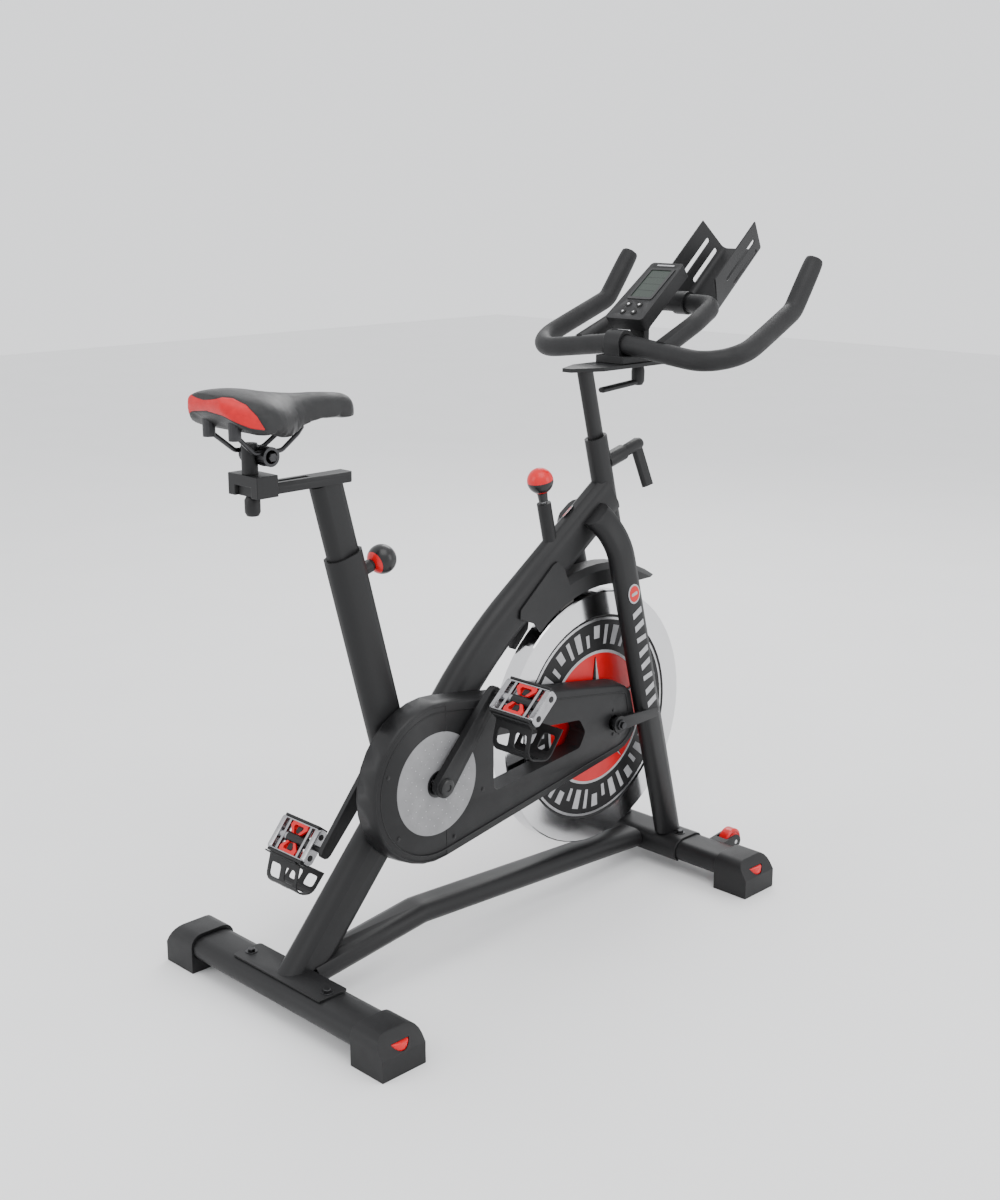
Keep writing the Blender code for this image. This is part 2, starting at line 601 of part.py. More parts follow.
def build_guard():
    """Fender over the flywheel, with ears bolted to both sides of the main tube."""
    inner, outer = 0.0216, 0.0252
    low, crown, wall, bend = 0.2440, 0.2810, 0.0035, 0.010
    profile = [(-outer, low), (-outer, crown - bend), (-outer + bend, crown), (outer - bend, crown),
               (outer, crown - bend), (outer, low), (inner, low), (inner, crown - bend - wall),
               (inner - bend + wall, crown - wall), (-inner + bend - wall, crown - wall),
               (-inner, crown - bend - wall), (-inner, low)]
    mesh = bmesh.new()
    rings = []
    start, end, steps = math.radians(52), math.radians(129), 14
    for i in range(steps + 1):
        angle = start + (end - start) * i / steps
        rings.append([mesh.verts.new(at(x, *polar((WHEEL_S, WHEEL_Z), radius, angle)))
                      for x, radius in profile])
    close_rings(mesh, rings)
    guard = add("flywheel_guard", mesh, "cover_plastic")
    cut(guard, block((-0.05, 0.8000, 0.3000), (0.05, 1.0000, 0.5475)))
    ear = [(0.5280, 0.5340), (0.5700, 0.5160), (0.6500, 0.5700), (0.6350, 0.6020), (0.6180, 0.6170),
           (0.6080, 0.6130), (0.5290, 0.5480)]
    for sign in (-1, 1):
        weld(guard, plate(ear, sign * inner, sign * outer))
    tail = [(0.5505, 0.4700), (0.5645, 0.4640), (0.5950, 0.4945), (0.6000, 0.5250), (0.5650, 0.5250)]
    weld(guard, plate(tail, inner, outer))
    cut(guard, main_envelope(GAP))
    cut(guard, brake_cylinder(0.0150, -0.02, 0.06))


def build_brake():
    """Push-down brake: rod with its ball knob, and the felt shoe over the rim."""
    knob = [(ROD_RADIUS, 0.0070), (ROD_RADIUS, 0.1630), (0.0075, 0.1640), (0.0090, 0.1790), (0.0170, 0.1835),
            (0.0215, 0.1920), (0.0225, 0.2000), (0.0210, 0.2090), (0.0160, 0.2170), (0.0080, 0.2220)]
    add("brake_knob", turn(knob, BRAKE_LOW, BRAKE_UP, 20), "red_plastic", BRAKE_LOW)
    inner = WHEEL_RADIUS + 0.0020
    middle = math.atan2(BRAKE_LOW.z - WHEEL_Z, ORIGIN_S - BRAKE_LOW.y - WHEEL_S)
    spread = 0.075
    outline = arc((WHEEL_S, WHEEL_Z), inner, middle - spread, middle + spread, 5)
    outline += arc((WHEEL_S, WHEEL_Z), inner + 0.012, middle + spread, middle - spread, 5)
    shoe = add("brake_shoe", plate(outline, -0.014, 0.014), "felt", BRAKE_LOW)
    weld(shoe, brake_cylinder(0.0095, -0.0200, 0.0050))
    cut(shoe, brake_cylinder(ROD_BORE, -0.0100, 0.0100))


# ---------------------------------------------------------------- drive train

def loop_outline(rear_radius, front_radius, rear, front, steps=18):
    """Outline round two circles and the straight tangents between them."""
    tilt = math.atan2(front[1] - rear[1], front[0] - rear[0])
    spread = math.acos((rear_radius - front_radius) / math.dist(rear, front))
    outline = arc(rear, rear_radius, tilt + spread, tilt + 2 * math.pi - spread, steps)
    outline += arc(front, front_radius, tilt - spread, tilt + spread, steps // 2)
    return outline


def leg_rear_edge(z):
    """How far forward the rear edge of the fork leg is at a height."""
    _, foot_s, foot_z = LEG_PATH[0]
    _, top_s, top_z = LEG_PATH[1]
    lean = (top_s - foot_s) / (top_z - foot_z)
    return foot_s + lean * (z - foot_z) - LEG_SECTION[1] / 2 * math.hypot(1, lean)


def cover_outline(grow=0.0):
    """Loop round both pulleys, cut off flat just behind the fork leg."""
    loop = loop_outline(COVER_REAR_RADIUS + grow, COVER_FRONT_RADIUS + grow,
                        (CRANK_S, CRANK_Z), (COVER_FRONT_S, COVER_FRONT_Z))
    return [(min(s, leg_rear_edge(z) - COVER_LEG_GAP + grow), z) for s, z in loop]


def window_outline(grow=0.0):
    """Opening between the two belt runs, with rounded corners."""
    corners = [at(0, s, z) for s, z in WINDOW]
    outline = []
    count = len(corners)
    middle = sum(corners, Vector()) / count
    for i in range(count):
        trio = [corners[i - 1], corners[i], corners[(i + 1) % count]]
        for point in rounded_path(trio, [0.010], 3)[1:-1]:
            point = point + (point - middle).normalized() * grow
            outline.append((ORIGIN_S - point.y, point.z))
    return outline


def cover_solid(inset, outer_x, rim_x):
    """Drafted solid of the cover, narrowing towards its outer face."""
    shoulder = outer_x + COVER_DRAFT / 2
    mesh = bmesh.new()
    rings = []
    for x, shrink in ((rim_x, 0.0), (shoulder, COVER_DRAFT * 0.6), (outer_x, COVER_DRAFT)):
        outline = cover_outline(-inset - shrink)
        rings.append([mesh.verts.new(at(x, s, z)) for s, z in outline])
    return close_rings(mesh, rings)


def build_belt_cover():
    """Outer shell round the belt, and the flat back plate that closes it."""
    rim_x = COVER_INNER_X - COVER_WALL - GAP
    shell = add("belt_cover_outer", cover_solid(0.0, COVER_OUTER_X, rim_x), "cover_plastic")
    cut(shell, cover_solid(COVER_WALL, COVER_OUTER_X + COVER_WALL, COVER_INNER_X))
    weld(shell, plate(window_outline(COVER_WALL), COVER_OUTER_X + 0.0005, rim_x))
    cut(shell, plate(window_outline(), COVER_OUTER_X - 0.01, COVER_INNER_X))
    cut(shell, turn([(0.0160, -0.07), (0.0160, -0.04)], CRANK_CENTRE, AXIS_X, 20))
    cut(shell, turn([(0.0140, -0.07), (0.0140, -0.04)], WHEEL_CENTRE, AXIS_X, 16))
    back = plate(cover_outline(), COVER_INNER_X - COVER_WALL, COVER_INNER_X)
    back = add("belt_cover_inner", back, "cover_plastic")
    cut(back, plate(window_outline(), COVER_INNER_X - 0.01, COVER_INNER_X + 0.01))
    cut(back, turn([(0.0150, -0.05), (0.0150, -0.01)], CRANK_CENTRE, AXIS_X, 20))
    cut(back, turn([(0.0290, -0.05), (0.0290, -0.01)], WHEEL_CENTRE, AXIS_X, 20))


def build_flywheel():
    """Chromed rim, painted web with hub, the driven pulley, and the fixed axle."""
    half = WHEEL_HALF_WIDTH
    rim = [(WEB_RADIUS + GAP, -half), (WHEEL_RADIUS - 0.002, -half), (WHEEL_RADIUS, -half + 0.002),
           (WHEEL_RADIUS, half - 0.002), (WHEEL_RADIUS - 0.002, half), (WEB_RADIUS + GAP, half)]
    add("flywheel_rim", turn(rim, WHEEL_CENTRE, AXIS_X, 56, loop=True), "chrome", WHEEL_CENTRE)
    web = [(AXLE_BORE, -0.0205), (0.0280, -0.0205), (0.0300, -0.0150), (WEB_RADIUS - 0.004, -0.0150),
           (WEB_RADIUS, -0.0165), (WEB_RADIUS, 0.0165), (WEB_RADIUS - 0.004, 0.0150),
           (0.0300, 0.0150), (0.0280, 0.0300), (AXLE_BORE, 0.0300)]
    add("flywheel_web", turn(web, WHEEL_CENTRE, AXIS_X, 48, loop=True), "web_paint", WHEEL_CENTRE)
    near, far = PULLEY_X + PULLEY_HALF_WIDTH, PULLEY_X - PULLEY_HALF_WIDTH
    flange = DRIVEN_RADIUS + 0.0020
    pulley = [(AXLE_BORE, far - 0.002), (flange, far - 0.002), (flange, far), (DRIVEN_RADIUS, far),
              (DRIVEN_RADIUS, near), (flange, near), (flange, near + 0.002), (0.0200, near + 0.002),
              (0.0200, -0.0208), (AXLE_BORE, -0.0208)]
    add("flywheel_pulley", turn(pulley, WHEEL_CENTRE, AXIS_X, 28, loop=True), "steel", WHEEL_CENTRE)
    right, left = -AXLE_PLATE_X["right"], AXLE_PLATE_X["left"]
    axle = [(0.0060, right - 0.0140), (0.0060, right + GAP), (0.0100, right + GAP), (0.0100, -0.0510),
            (AXLE_BORE - 0.0005, -0.0510), (AXLE_BORE - 0.0005, 0.0400), (0.0100, 0.0400),
            (0.0100, left - GAP), (0.0060, left - GAP), (0.0060, left + 0.0140)]
    add("flywheel_axle", turn(axle, WHEEL_CENTRE, AXIS_X, 16), "steel")


def build_drive():
    """Large pulley on the crank spindle, and the belt to the flywheel."""
    near, far = PULLEY_X + PULLEY_HALF_WIDTH, PULLEY_X - PULLEY_HALF_WIDTH
    flange = DRIVE_RADIUS + 0.0020
    spindle = 0.0085
    right_end = -CRANK_X["right"] + CRANK_THICKNESS["right"] / 2 + GAP
    left_end = CRANK_X["left"] - CRANK_THICKNESS["left"] / 2 - GAP
    pulley = [(spindle, right_end), (spindle, far - 0.0120), (0.0140, far - 0.0020),
              (flange, far - 0.0020), (flange, far), (DRIVE_RADIUS, far), (DRIVE_RADIUS, near),
              (0.0140, near), (0.0140, -0.0223), (spindle, -0.0223), (spindle, left_end)]
    add("drive_pulley", turn(pulley, CRANK_CENTRE, AXIS_X, 44), "steel", CRANK_CENTRE)
    rear, front = (CRANK_S, CRANK_Z), (WHEEL_S, WHEEL_Z)
    inner = loop_outline(DRIVE_RADIUS + 0.0005, DRIVEN_RADIUS + 0.0005, rear, front, 26)
    outer = loop_outline(DRIVE_RADIUS + BELT_THICKNESS, DRIVEN_RADIUS + BELT_THICKNESS, rear, front, 26)
    mesh = bmesh.new()
    rings = []
    for low, high in zip(inner, outer):
        rings.append([mesh.verts.new(at(x, *point)) for x, point in
                      ((far + 0.001, low), (near - 0.001, low), (near - 0.001, high),
                       (far + 0.001, high))])
    add("drive_belt", close_rings(mesh, rings, loop=True), "rubber")


def crank_tip(sign):
    """Side-plane place of a pedal axle; the arms are opposite each other."""
    return (CRANK_S - sign * CRANK_LENGTH * math.sin(CRANK_ANGLE),
            CRANK_Z - sign * CRANK_LENGTH * math.cos(CRANK_ANGLE))


def build_crank_arm(side, sign):
    """Crank arm with its spindle boss and the pedal axle screwed into its end."""
    tip = crank_tip(sign)
    outline = loop_outline(*CRANK_RADII[side], (CRANK_S, CRANK_Z), tip, 10)
    half = CRANK_THICKNESS[side] / 2
    middle = CRANK_X[side]
    arm = plate(outline, sign * (middle - half), sign * (middle + half))
    arm = add(f"crank_arm_{side}", arm, "black_plastic", CRANK_CENTRE)
    axle = [(0.0048, 0.0), (0.0048, PEDAL_OFFSET[side] + 0.0400)]
    weld(arm, turn(axle, at(sign * middle, *tip), AXIS_X * sign, 12))
    boss = [(0.0150, 0.0), (0.0150, half + 0.0040)]
    weld(arm, turn(boss, at(sign * middle, CRANK_S, CRANK_Z), AXIS_X * sign, 16))


def build_pedal(side, sign):
    """Pedal body that turns on its axle, and the toe cage bolted to its edge."""
    tip = crank_tip(sign)
    tilt = PEDAL_TILT[side]
    centre = at(sign * (CRANK_X[side] + PEDAL_OFFSET[side]), *tip)
    pivot = at(0, *tip)
    forward = Vector((0, -math.cos(tilt), math.sin(tilt)))
    normal = Vector((0, math.sin(tilt), math.cos(tilt)))
    height = PEDAL_HEIGHT / 2
    body = slab(rounded_box(PEDAL_WIDTH, PEDAL_LENGTH, 0.010), centre, AXIS_X, forward, -height, height)
    pedal = add(f"pedal_{side}", body, "alloy", pivot)
    for shift in (-1, 1):
        slot_centre = centre + forward * (shift * 0.0205)
        cut(pedal, slab(rounded_box(0.066, 0.016, 0.004), slot_centre, AXIS_X, forward, -0.03, 0.03))
    cut(pedal, turn([(0.0054, -0.06), (0.0054, 0.0445)], centre, AXIS_X * sign, 12))
    edge = centre - forward * (PEDAL_LENGTH / 2 + 0.0018)
    edge += AXIS_X * (sign * CAGE_SHIFT[side])
    corners = [edge + normal * 0.008, edge - normal * 0.006]
    corners += [edge - forward * back - normal * down for back, down in CAGE_BEND[side]]
    run = rounded_path(corners, [0.004, 0.018, 0.018], 4)
    cage = sweep(run, rounded_box(CAGE_WIDTH, 0.0024, 0.0008, 1), AXIS_X)
    cage = add(f"toe_cage_{side}", cage, "black_plastic", pivot)
    for start, end in zip(corners[1:], corners[2:]):
        for x_shift in (-CAGE_WINDOW_X, CAGE_WINDOW_X):
            window = (start + end) / 2 + AXIS_X * x_shift
            length = (end - start).length * 0.52
            cut(cage, slab(rounded_box(0.026, length, 0.005), window, AXIS_X, end - start, -0.012, 0.012))


# ---------------------------------------------------------------- seat

def build_seat_support():
    """Post with its slide bar, the carriage on the bar, and the knob that locks it."""
    run = [SEAT_TOP - SEAT_UP * SEAT_POST_LENGTH, SEAT_TOP]
    post = add("seat_post", sweep(run, oval(*SEAT_POST_SECTION), AXIS_X), "frame_paint", SEAT_TOP)
    low, high = SEAT_BAR_Z
    half = SEAT_BAR_HALF
    bar = block((-half, 0.0, low), (half, 0.1830, high))
    for sign in (-1, 1):
        trim(bar, at(sign * half, 0.1765, 0), Vector((sign, -1, 0)))
        trim(bar, at(sign * half, 0, high - 0.0050), Vector((sign, 0, 1)))
    weld(post, bar)
    slot_end = 0.1100
    cut(post, block((-0.0050, 0.0040, low - 0.01), (0.0050, slot_end, high + 0.01)))
    top = high + 0.0162
    pivot = at(0, 0.0125, high)
    carriage = add("seat_carriage", block((-0.0340, -0.0060, low), (0.0340, 0.0310, top)), "frame_paint",
                   pivot)
    cut(carriage, block((-half - GAP, -0.05, low - 0.01), (half + GAP, 0.05, high + GAP)))
    cut(carriage, turn([(0.0052, -0.03), (0.0052, 0.0060)], at(0, 0.0100, high), (0, 0, 1), 12))
    knob_top = low - GAP
    knob = [(0.0046, high - low + 0.0050), (0.0046, 0.0), (0.0080, 0.0), (0.0115, -0.0060),
            (0.0115, -0.0230), (0.0085, -0.0290)]
    centre = at(0, 0.0100, knob_top)
    add("carriage_knob", turn(knob, centre, (0, 0, 1), 18), "black_plastic", centre)
    stem_foot = at(0, 0.0080, top + GAP)
    stem = add("saddle_stem", turn([(0.0118, 0.0), (0.0118, 0.0430)], stem_foot, (0, 0, 1), 18),
               "frame_paint")
    weld(stem, turn([(0.0118, -0.0075), (0.0118, 0.0075)], TILT_CENTRE, AXIS_X, 16))
    for sign in (-1, 1):
        cut(stem, turn([(0.0160, 0.0075), (0.0160, 0.0300)], TILT_CENTRE, AXIS_X * sign, 20))
    cut(stem, turn([(0.0046, -0.02), (0.0046, 0.02)], TILT_CENTRE, AXIS_X, 12))


def rail_path():
    """Saddle rail wire: one piece, bent round under the nose, with its ends at the rear."""
    half = [(BUMPER_X, BUMPER_S, BUMPER[1] + 0.0080), (RAIL_X, 0.0000, RAIL_Z), (RAIL_X, 0.0480, RAIL_Z),
            (RAIL_X - 0.002, 0.0780, 0.8930), (0.0090, 0.0960, 0.9010)]
    left = [at(x, s, z) for x, s, z in half]
    right = [at(-x, s, z) for x, s, z in half]
    return rounded_path(left + right[::-1], [0.012, 0.015, 0.012, 0.006, 0.006, 0.012, 0.015, 0.012], 3)


def build_saddle():
    """Padded saddle on its wire rail, held by a clamp that lets it tilt."""
    cheek = 0.0078
    clamp = [(0.0142, -0.0290), (0.0142, -cheek), (0.0044, -cheek), (0.0044, cheek), (0.0142, cheek),
             (0.0142, 0.0290)]
    clamp = add("saddle_clamp", turn(clamp, TILT_CENTRE, AXIS_X, 20), "steel", TILT_CENTRE)
    cut(clamp, sweep(rail_path(), ring_outline(RAIL_RADIUS + GAP, 8)))
    rails = add("saddle_rails", sweep(rail_path(), ring_outline(RAIL_RADIUS, 8)), "steel", TILT_CENTRE)
    radius, foot = BUMPER
    for sign in (-1, 1):
        bumper = [(radius, 0.0), (radius, 0.0300)]
        weld(rails, turn(bumper, at(sign * BUMPER_X, BUMPER_S, foot), (0, 0, 1), 14))
    add("saddle_pad", saddle_mesh(), "saddle_skin", TILT_CENTRE)


def blend(stations, s):
    """Smooth value between stations of (s, values...), level at each station's slope."""
    for i in range(len(stations) - 1):
        if s <= stations[i + 1][0] or i == len(stations) - 2:
            break
    first, second = stations[i], stations[i + 1]
    before, after = stations[max(i - 1, 0)], stations[min(i + 2, len(stations) - 1)]
    span = second[0] - first[0]
    t = (s - first[0]) / span
    values = []
    for k in range(1, len(first)):
        slope_a = (second[k] - before[k]) / (second[0] - before[0]) * span
        slope_b = (after[k] - first[k]) / (after[0] - first[0]) * span
        values.append((2 * t ** 3 - 3 * t ** 2 + 1) * first[k] + (t ** 3 - 2 * t ** 2 + t) * slope_a
                      + (3 * t ** 2 - 2 * t ** 3) * second[k] + (t ** 3 - t ** 2) * slope_b)
    return values


def saddle_mesh():
    """Loft through cross-sections: domed top, rounded skirt, hollow underside."""
    mesh = bmesh.new()
    rings = []
    steps, count = 20, 16
    start, end = SADDLE[0][0], SADDLE[-1][0]
    for i in range(steps + 1):
        s = start + (end - start) * (1 - math.cos(math.pi * i / steps)) / 2
        half, crown, skirt = blend(SADDLE, s)
        ring = []
        for k in range(count + 1):
            angle = math.pi * k / count
            x = -half * math.cos(angle)
            rise = max(math.sin(angle), 0.0) ** 0.5
            ring.append(mesh.verts.new(at(x, s, skirt + (crown - skirt) * rise)))
        hollow = max((crown - skirt) * 0.75 - 0.012, 0.0)
        for k in range(1, 6):
            x = half * 0.92 * (1 - 2 * k / 6)
            ring.append(mesh.verts.new(at(x, s, skirt + hollow * (1 - (1 - 2 * k / 6) ** 4))))
        rings.append(ring)
    return close_rings(mesh, rings)


# ---------------------------------------------------------------- handlebar

def build_bar_post():
    """Handlebar post with the slotted slide plate on top."""
    run = [HEAD_TOP - HEAD_UP * BAR_POST_LENGTH, HEAD_TOP]
    post = add("handlebar_post", sweep(run, oval(*BAR_POST_SECTION), AXIS_X), "frame_paint", HEAD_TOP)
    top = BAR_PLATE_Z
    slide = block((-0.0360, 0.6625, top - 0.0065), (0.0360, 0.9000, top))
    for sign in (-1, 1):
        trim(slide, at(sign * 0.0100, 0.6625, 0), Vector((sign * 2.1, 1, 0)))
    weld(post, slide)
    cut(post, block((-0.0050, 0.8220, top - 0.02), (0.0050, 0.8900, top + 0.01)))


def build_bar_clamp():
    """Clamp that slides on the plate, holds the bar and carries the console arm."""
    foot = BAR_PLATE_Z + GAP
    pivot = at(0, BOLT_S, BAR_PLATE_Z)
    clamp = add("handlebar_clamp", block((-0.0310, 0.7700, foot), (0.0310, 0.8700, foot + 0.0130)),
                "black_plastic", pivot)
    weld(clamp, block((-0.0175, 0.7745, foot + 0.005), (0.0175, 0.8135, BAR_CENTRE.z)))
    weld(clamp, turn([(BAR_RADIUS + 0.0045, -0.0175), (BAR_RADIUS + 0.0045, 0.0175)], BAR_CENTRE,
                     AXIS_X, 20))
    arm = [(0.8420, foot + 0.008), (0.8560, foot + 0.008), (0.8560, 0.9900), (0.9060, 1.0500),
           (0.8860, 1.0360), (0.8420, 1.0040)]
    arm = [(s, z - 0.0005) for s, z in arm]
    weld(clamp, plate(arm, -0.0160, 0.0160))
    cut(clamp, bar_envelope(GAP))
    cut(clamp, console_envelope(GAP))
    cut(clamp, turn([(0.0046, -0.02), (0.0046, 0.0090)], at(0, BOLT_S, BAR_PLATE_Z), (0, 0, 1), 12))


def build_slider_lever():
    """Screw under the slide plate with its hand lever."""
    centre = at(0, BOLT_S, BAR_PLATE_Z)
    screw = [(0.0043, 0.0080), (0.0043, -0.0068), (0.0090, -0.0068), (0.0118, -0.0180), (0.0115, -0.0370),
             (0.0080, -0.0430)]
    lever = add("slider_lever", turn(screw, centre, (0, 0, 1), 16), "black_plastic", centre)
    hub = centre - Vector((0, 0, 0.0370))
    tip = at(0, 0.7510, BAR_PLATE_Z - 0.0440)
    weld(lever, sweep([hub, (hub + tip) / 2, tip], rounded_box(0.014, 0.009, 0.003, 1), AXIS_X))


def bar_run():
    """Centre line of the outer bar, from the left tip round to the right tip."""
    left = [at(x, s, z) for x, s, z in BAR_PATH]
    right = [at(-x, s, z) for x, s, z in BAR_PATH]
    return rounded_path(left[::-1] + right[1:], [0.042, 0.077, 0.30, 0.077, 0.042], 6)


def bar_envelope(clearance):
    return sweep(bar_run(), ring_outline(BAR_RADIUS + clearance, 16))


def build_handlebar():
    """Outer bar with upright grips, and the inner loop welded between its halves."""
    add("handlebar", bar_envelope(0.0), "grip_rubber", BAR_CENTRE)
    half = [at(x, s, z) for x, s, z in LOOP_PATH]
    other = [at(-x, s, z) for x, s, z in LOOP_PATH]
    run = rounded_path(half + other[::-1], [0.10, 0.034, 0.034, 0.10], 5)
    loop = add("handlebar_loop", sweep(run, ring_outline(LOOP_RADIUS, 14)), "grip_rubber", BAR_CENTRE)
    cut(loop, bar_envelope(GAP))


def console_place(along_face, depth=0.0, x=0.0):
    """World point on the console: distance up its face and height above the face."""
    return at(x, *CONSOLE_FOOT) + CONSOLE_UP * along_face + CONSOLE_OUT * depth


def console_envelope(clearance):
    """Tapered housing block with rounded corners."""
    low, high = CONSOLE_HALF_WIDTHS
    outline = [(-low, 0.0), (low, 0.0), (high, CONSOLE_LENGTH), (-high, CONSOLE_LENGTH)]
    corners = [Vector((u, v, 0)) for u, v in outline]
    rounded = []
    for i in range(4):
        trio = [corners[i - 1], corners[i], corners[(i + 1) % 4]]
        rounded += [(point.x, point.y) for point in rounded_path(trio, [0.006], 3)[1:-1]]
    middle = CONSOLE_LENGTH / 2
    scale = 1 + clearance / 0.03
    rounded = [(u * scale, middle + (v - middle) * scale) for u, v in rounded]
    rounded = [(v, u) for u, v in rounded]
    return slab(rounded, console_place(0), CONSOLE_UP, AXIS_X, -CONSOLE_THICKNESS - clearance, clearance)


def build_console():
    """Console housing with its screen and four push buttons."""
    housing = add("console_housing", console_envelope(0.0), "black_plastic", console_place(0))
    screen = rounded_box(2 * SCREEN_HALF[1], 2 * SCREEN_HALF[0], 0.003)
    recess = rounded_box(2 * (SCREEN_HALF[1] + GAP), 2 * (SCREEN_HALF[0] + GAP), 0.003)
    place = console_place(SCREEN_ALONG)
    cut(housing, slab(recess, place, CONSOLE_UP, AXIS_X, -0.0030 - GAP, 0.01))
    add("console_screen", slab(screen, place, CONSOLE_UP, AXIS_X, -0.0030, -0.0004), "screen")
    number = 0
    for along_face in BUTTON_ALONG:
        for x in BUTTON_X:
            number += 1
            centre = console_place(along_face, 0.0, x)
            cut(housing, turn([(BUTTON_RADIUS + GAP, -0.0050), (BUTTON_RADIUS + GAP, 0.01)], centre,
                              CONSOLE_OUT, 16))
            button = [(BUTTON_RADIUS, -0.0035), (BUTTON_RADIUS, 0.0008), (BUTTON_RADIUS - 0.0008, 0.0014)]
            add(f"console_button_{number}", turn(button, centre, CONSOLE_OUT, 16), "rubber", centre)


def build_rack():
    """Folded media rack on an arm from the front of the inner loop."""
    wall = 0.0025
    corner, wing = Vector((RACK_FLOOR_HALF, 0, 0)), Vector((RACK_WING_HALF, RACK_WING_HEIGHT, 0))
    mirror = [Vector((-point.x, point.y, 0)) for point in (wing, corner)]
    outer = rounded_path([wing, corner, mirror[1], mirror[0]], [0.014, 0.014], 4)
    inner = []
    for i, point in enumerate(outer):
        tangent = (outer[min(i + 1, len(outer) - 1)] - outer[max(i - 1, 0)]).normalized()
        inner.append(point + Vector((tangent.y, -tangent.x, 0)) * wall)
    section = [(point.x, point.y) for point in outer + inner[::-1]]
    start = at(0, *RACK_FOOT)
    rack = slab(section, start, AXIS_X, RACK_OUT, 0.0, RACK_LENGTH)
    trim(rack, start, RACK_OUT * 0.23 - RACK_ALONG)
    rack = add("media_rack", rack, "frame_paint", start)
    for height, near, far in RACK_SLOTS:
        middle = (near + far) / 2
        slot = rounded_box(far - near, 0.0090, 0.0044, 3)
        place = start + RACK_ALONG * middle + RACK_OUT * height
        cut(rack, slab(slot, place, RACK_ALONG, RACK_OUT, -0.1, 0.1))
    arm_start = at(0, *LOOP_FRONT)
    weld(rack, turn([(LOOP_RADIUS + 0.004, -0.013), (LOOP_RADIUS + 0.004, 0.013)], arm_start, AXIS_X, 16))
    floor = start + RACK_ALONG * 0.018
    weld(rack, sweep([arm_start, floor + RACK_OUT * 0.0015], rounded_box(0.024, 0.010, 0.002, 1), AXIS_X))
    clear = LOOP_RADIUS + 3 * GAP
    cut(rack, turn([(clear, -0.05), (clear, 0.05)], arm_start, AXIS_X, 16))


# ---------------------------------------------------------------- whole bike

def build():
    for piece in list(bpy.data.objects):
        bpy.data.objects.remove(piece, do_unlink=True)
    for end in FOOT_S:
        build_foot(end)
    build_front_bracket()
    build_main_tube()
    build_strut()
    build_seat_tube()
    build_seat_pin()
    build_head_tube()
    build_post_lever()
    build_fork()
    build_guard()
    build_brake()
    build_belt_cover()
    build_flywheel()
    build_drive()
    for side, sign in SIDES.items():
        build_transport(side)
        build_crank_arm(side, sign)
        build_pedal(side, sign)
    build_seat_support()
    build_saddle()
    build_bar_post()
    build_bar_clamp()
    build_slider_lever()
    build_handlebar()
    build_console()
    build_rack()


build()
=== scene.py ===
"""Looks for the indoor exercise bike: materials, saddle, flywheel faces, pedals, knobs and fittings.

Units are metres, +Z is up, the rider faces -Y and the rider's right side is -X.
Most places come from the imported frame: the boxes of its nodes and the axes of its joints.
"""
import json
import math

import bmesh
import bpy
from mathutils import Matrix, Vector


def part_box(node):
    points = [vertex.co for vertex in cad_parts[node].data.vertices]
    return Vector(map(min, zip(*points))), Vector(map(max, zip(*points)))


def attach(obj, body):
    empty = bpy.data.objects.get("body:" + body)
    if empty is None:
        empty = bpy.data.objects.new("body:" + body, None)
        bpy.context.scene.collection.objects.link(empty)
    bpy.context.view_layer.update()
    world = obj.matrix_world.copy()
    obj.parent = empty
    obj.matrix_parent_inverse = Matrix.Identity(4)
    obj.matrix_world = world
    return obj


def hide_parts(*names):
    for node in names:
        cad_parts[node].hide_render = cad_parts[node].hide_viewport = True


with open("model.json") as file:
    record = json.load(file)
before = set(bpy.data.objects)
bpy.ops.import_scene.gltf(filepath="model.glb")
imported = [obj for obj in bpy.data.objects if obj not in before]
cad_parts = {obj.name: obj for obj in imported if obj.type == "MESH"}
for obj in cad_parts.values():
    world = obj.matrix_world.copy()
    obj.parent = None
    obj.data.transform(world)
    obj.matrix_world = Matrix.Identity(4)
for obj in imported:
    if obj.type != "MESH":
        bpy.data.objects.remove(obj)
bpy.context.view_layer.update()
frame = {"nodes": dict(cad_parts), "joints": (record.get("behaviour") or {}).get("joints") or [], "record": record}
NODES = frame["nodes"]
JOINTS = {joint["name"]: joint for joint in frame["joints"]}
MATERIAL_SLOTS = {part["node"]: part["material_slot"] for part in frame["record"]["subparts"]}
SIDES = {"right": -1, "left": 1}
X, Z = Vector((1, 0, 0)), Vector((0, 0, 1))
LIFT = 0.0003                     # gap between a laid-on detail and the surface under it
NEARLY_PARALLEL = 0.95            # cosine above which two directions count as one
MERGE_DISTANCE = 0.00002          # points closer than this are one point
NO_LENGTH = 0.00001               # edges shorter than this are dropped
EDGE_WIDTH = 0.0010               # round-over on the hard edges of the CAD shapes
HARD_EDGE = math.radians(42)      # edges sharper than this are rounded over
FLAT = math.radians(1.2)          # faces closer in angle than this are merged
FINELY_FLAT = math.radians(0.6)   # the same, for the bars


def joint_axis(name):
    return Vector(JOINTS[name]["axis"]).normalized()


def joint_place(name):
    return Vector(JOINTS[name]["pos_m"])


WHEEL = joint_place("flywheel_spin")
CRANK = joint_place("crank_spin")
TILT = joint_place("saddle_tilt")


# ---------------------------------------------------------------- materials

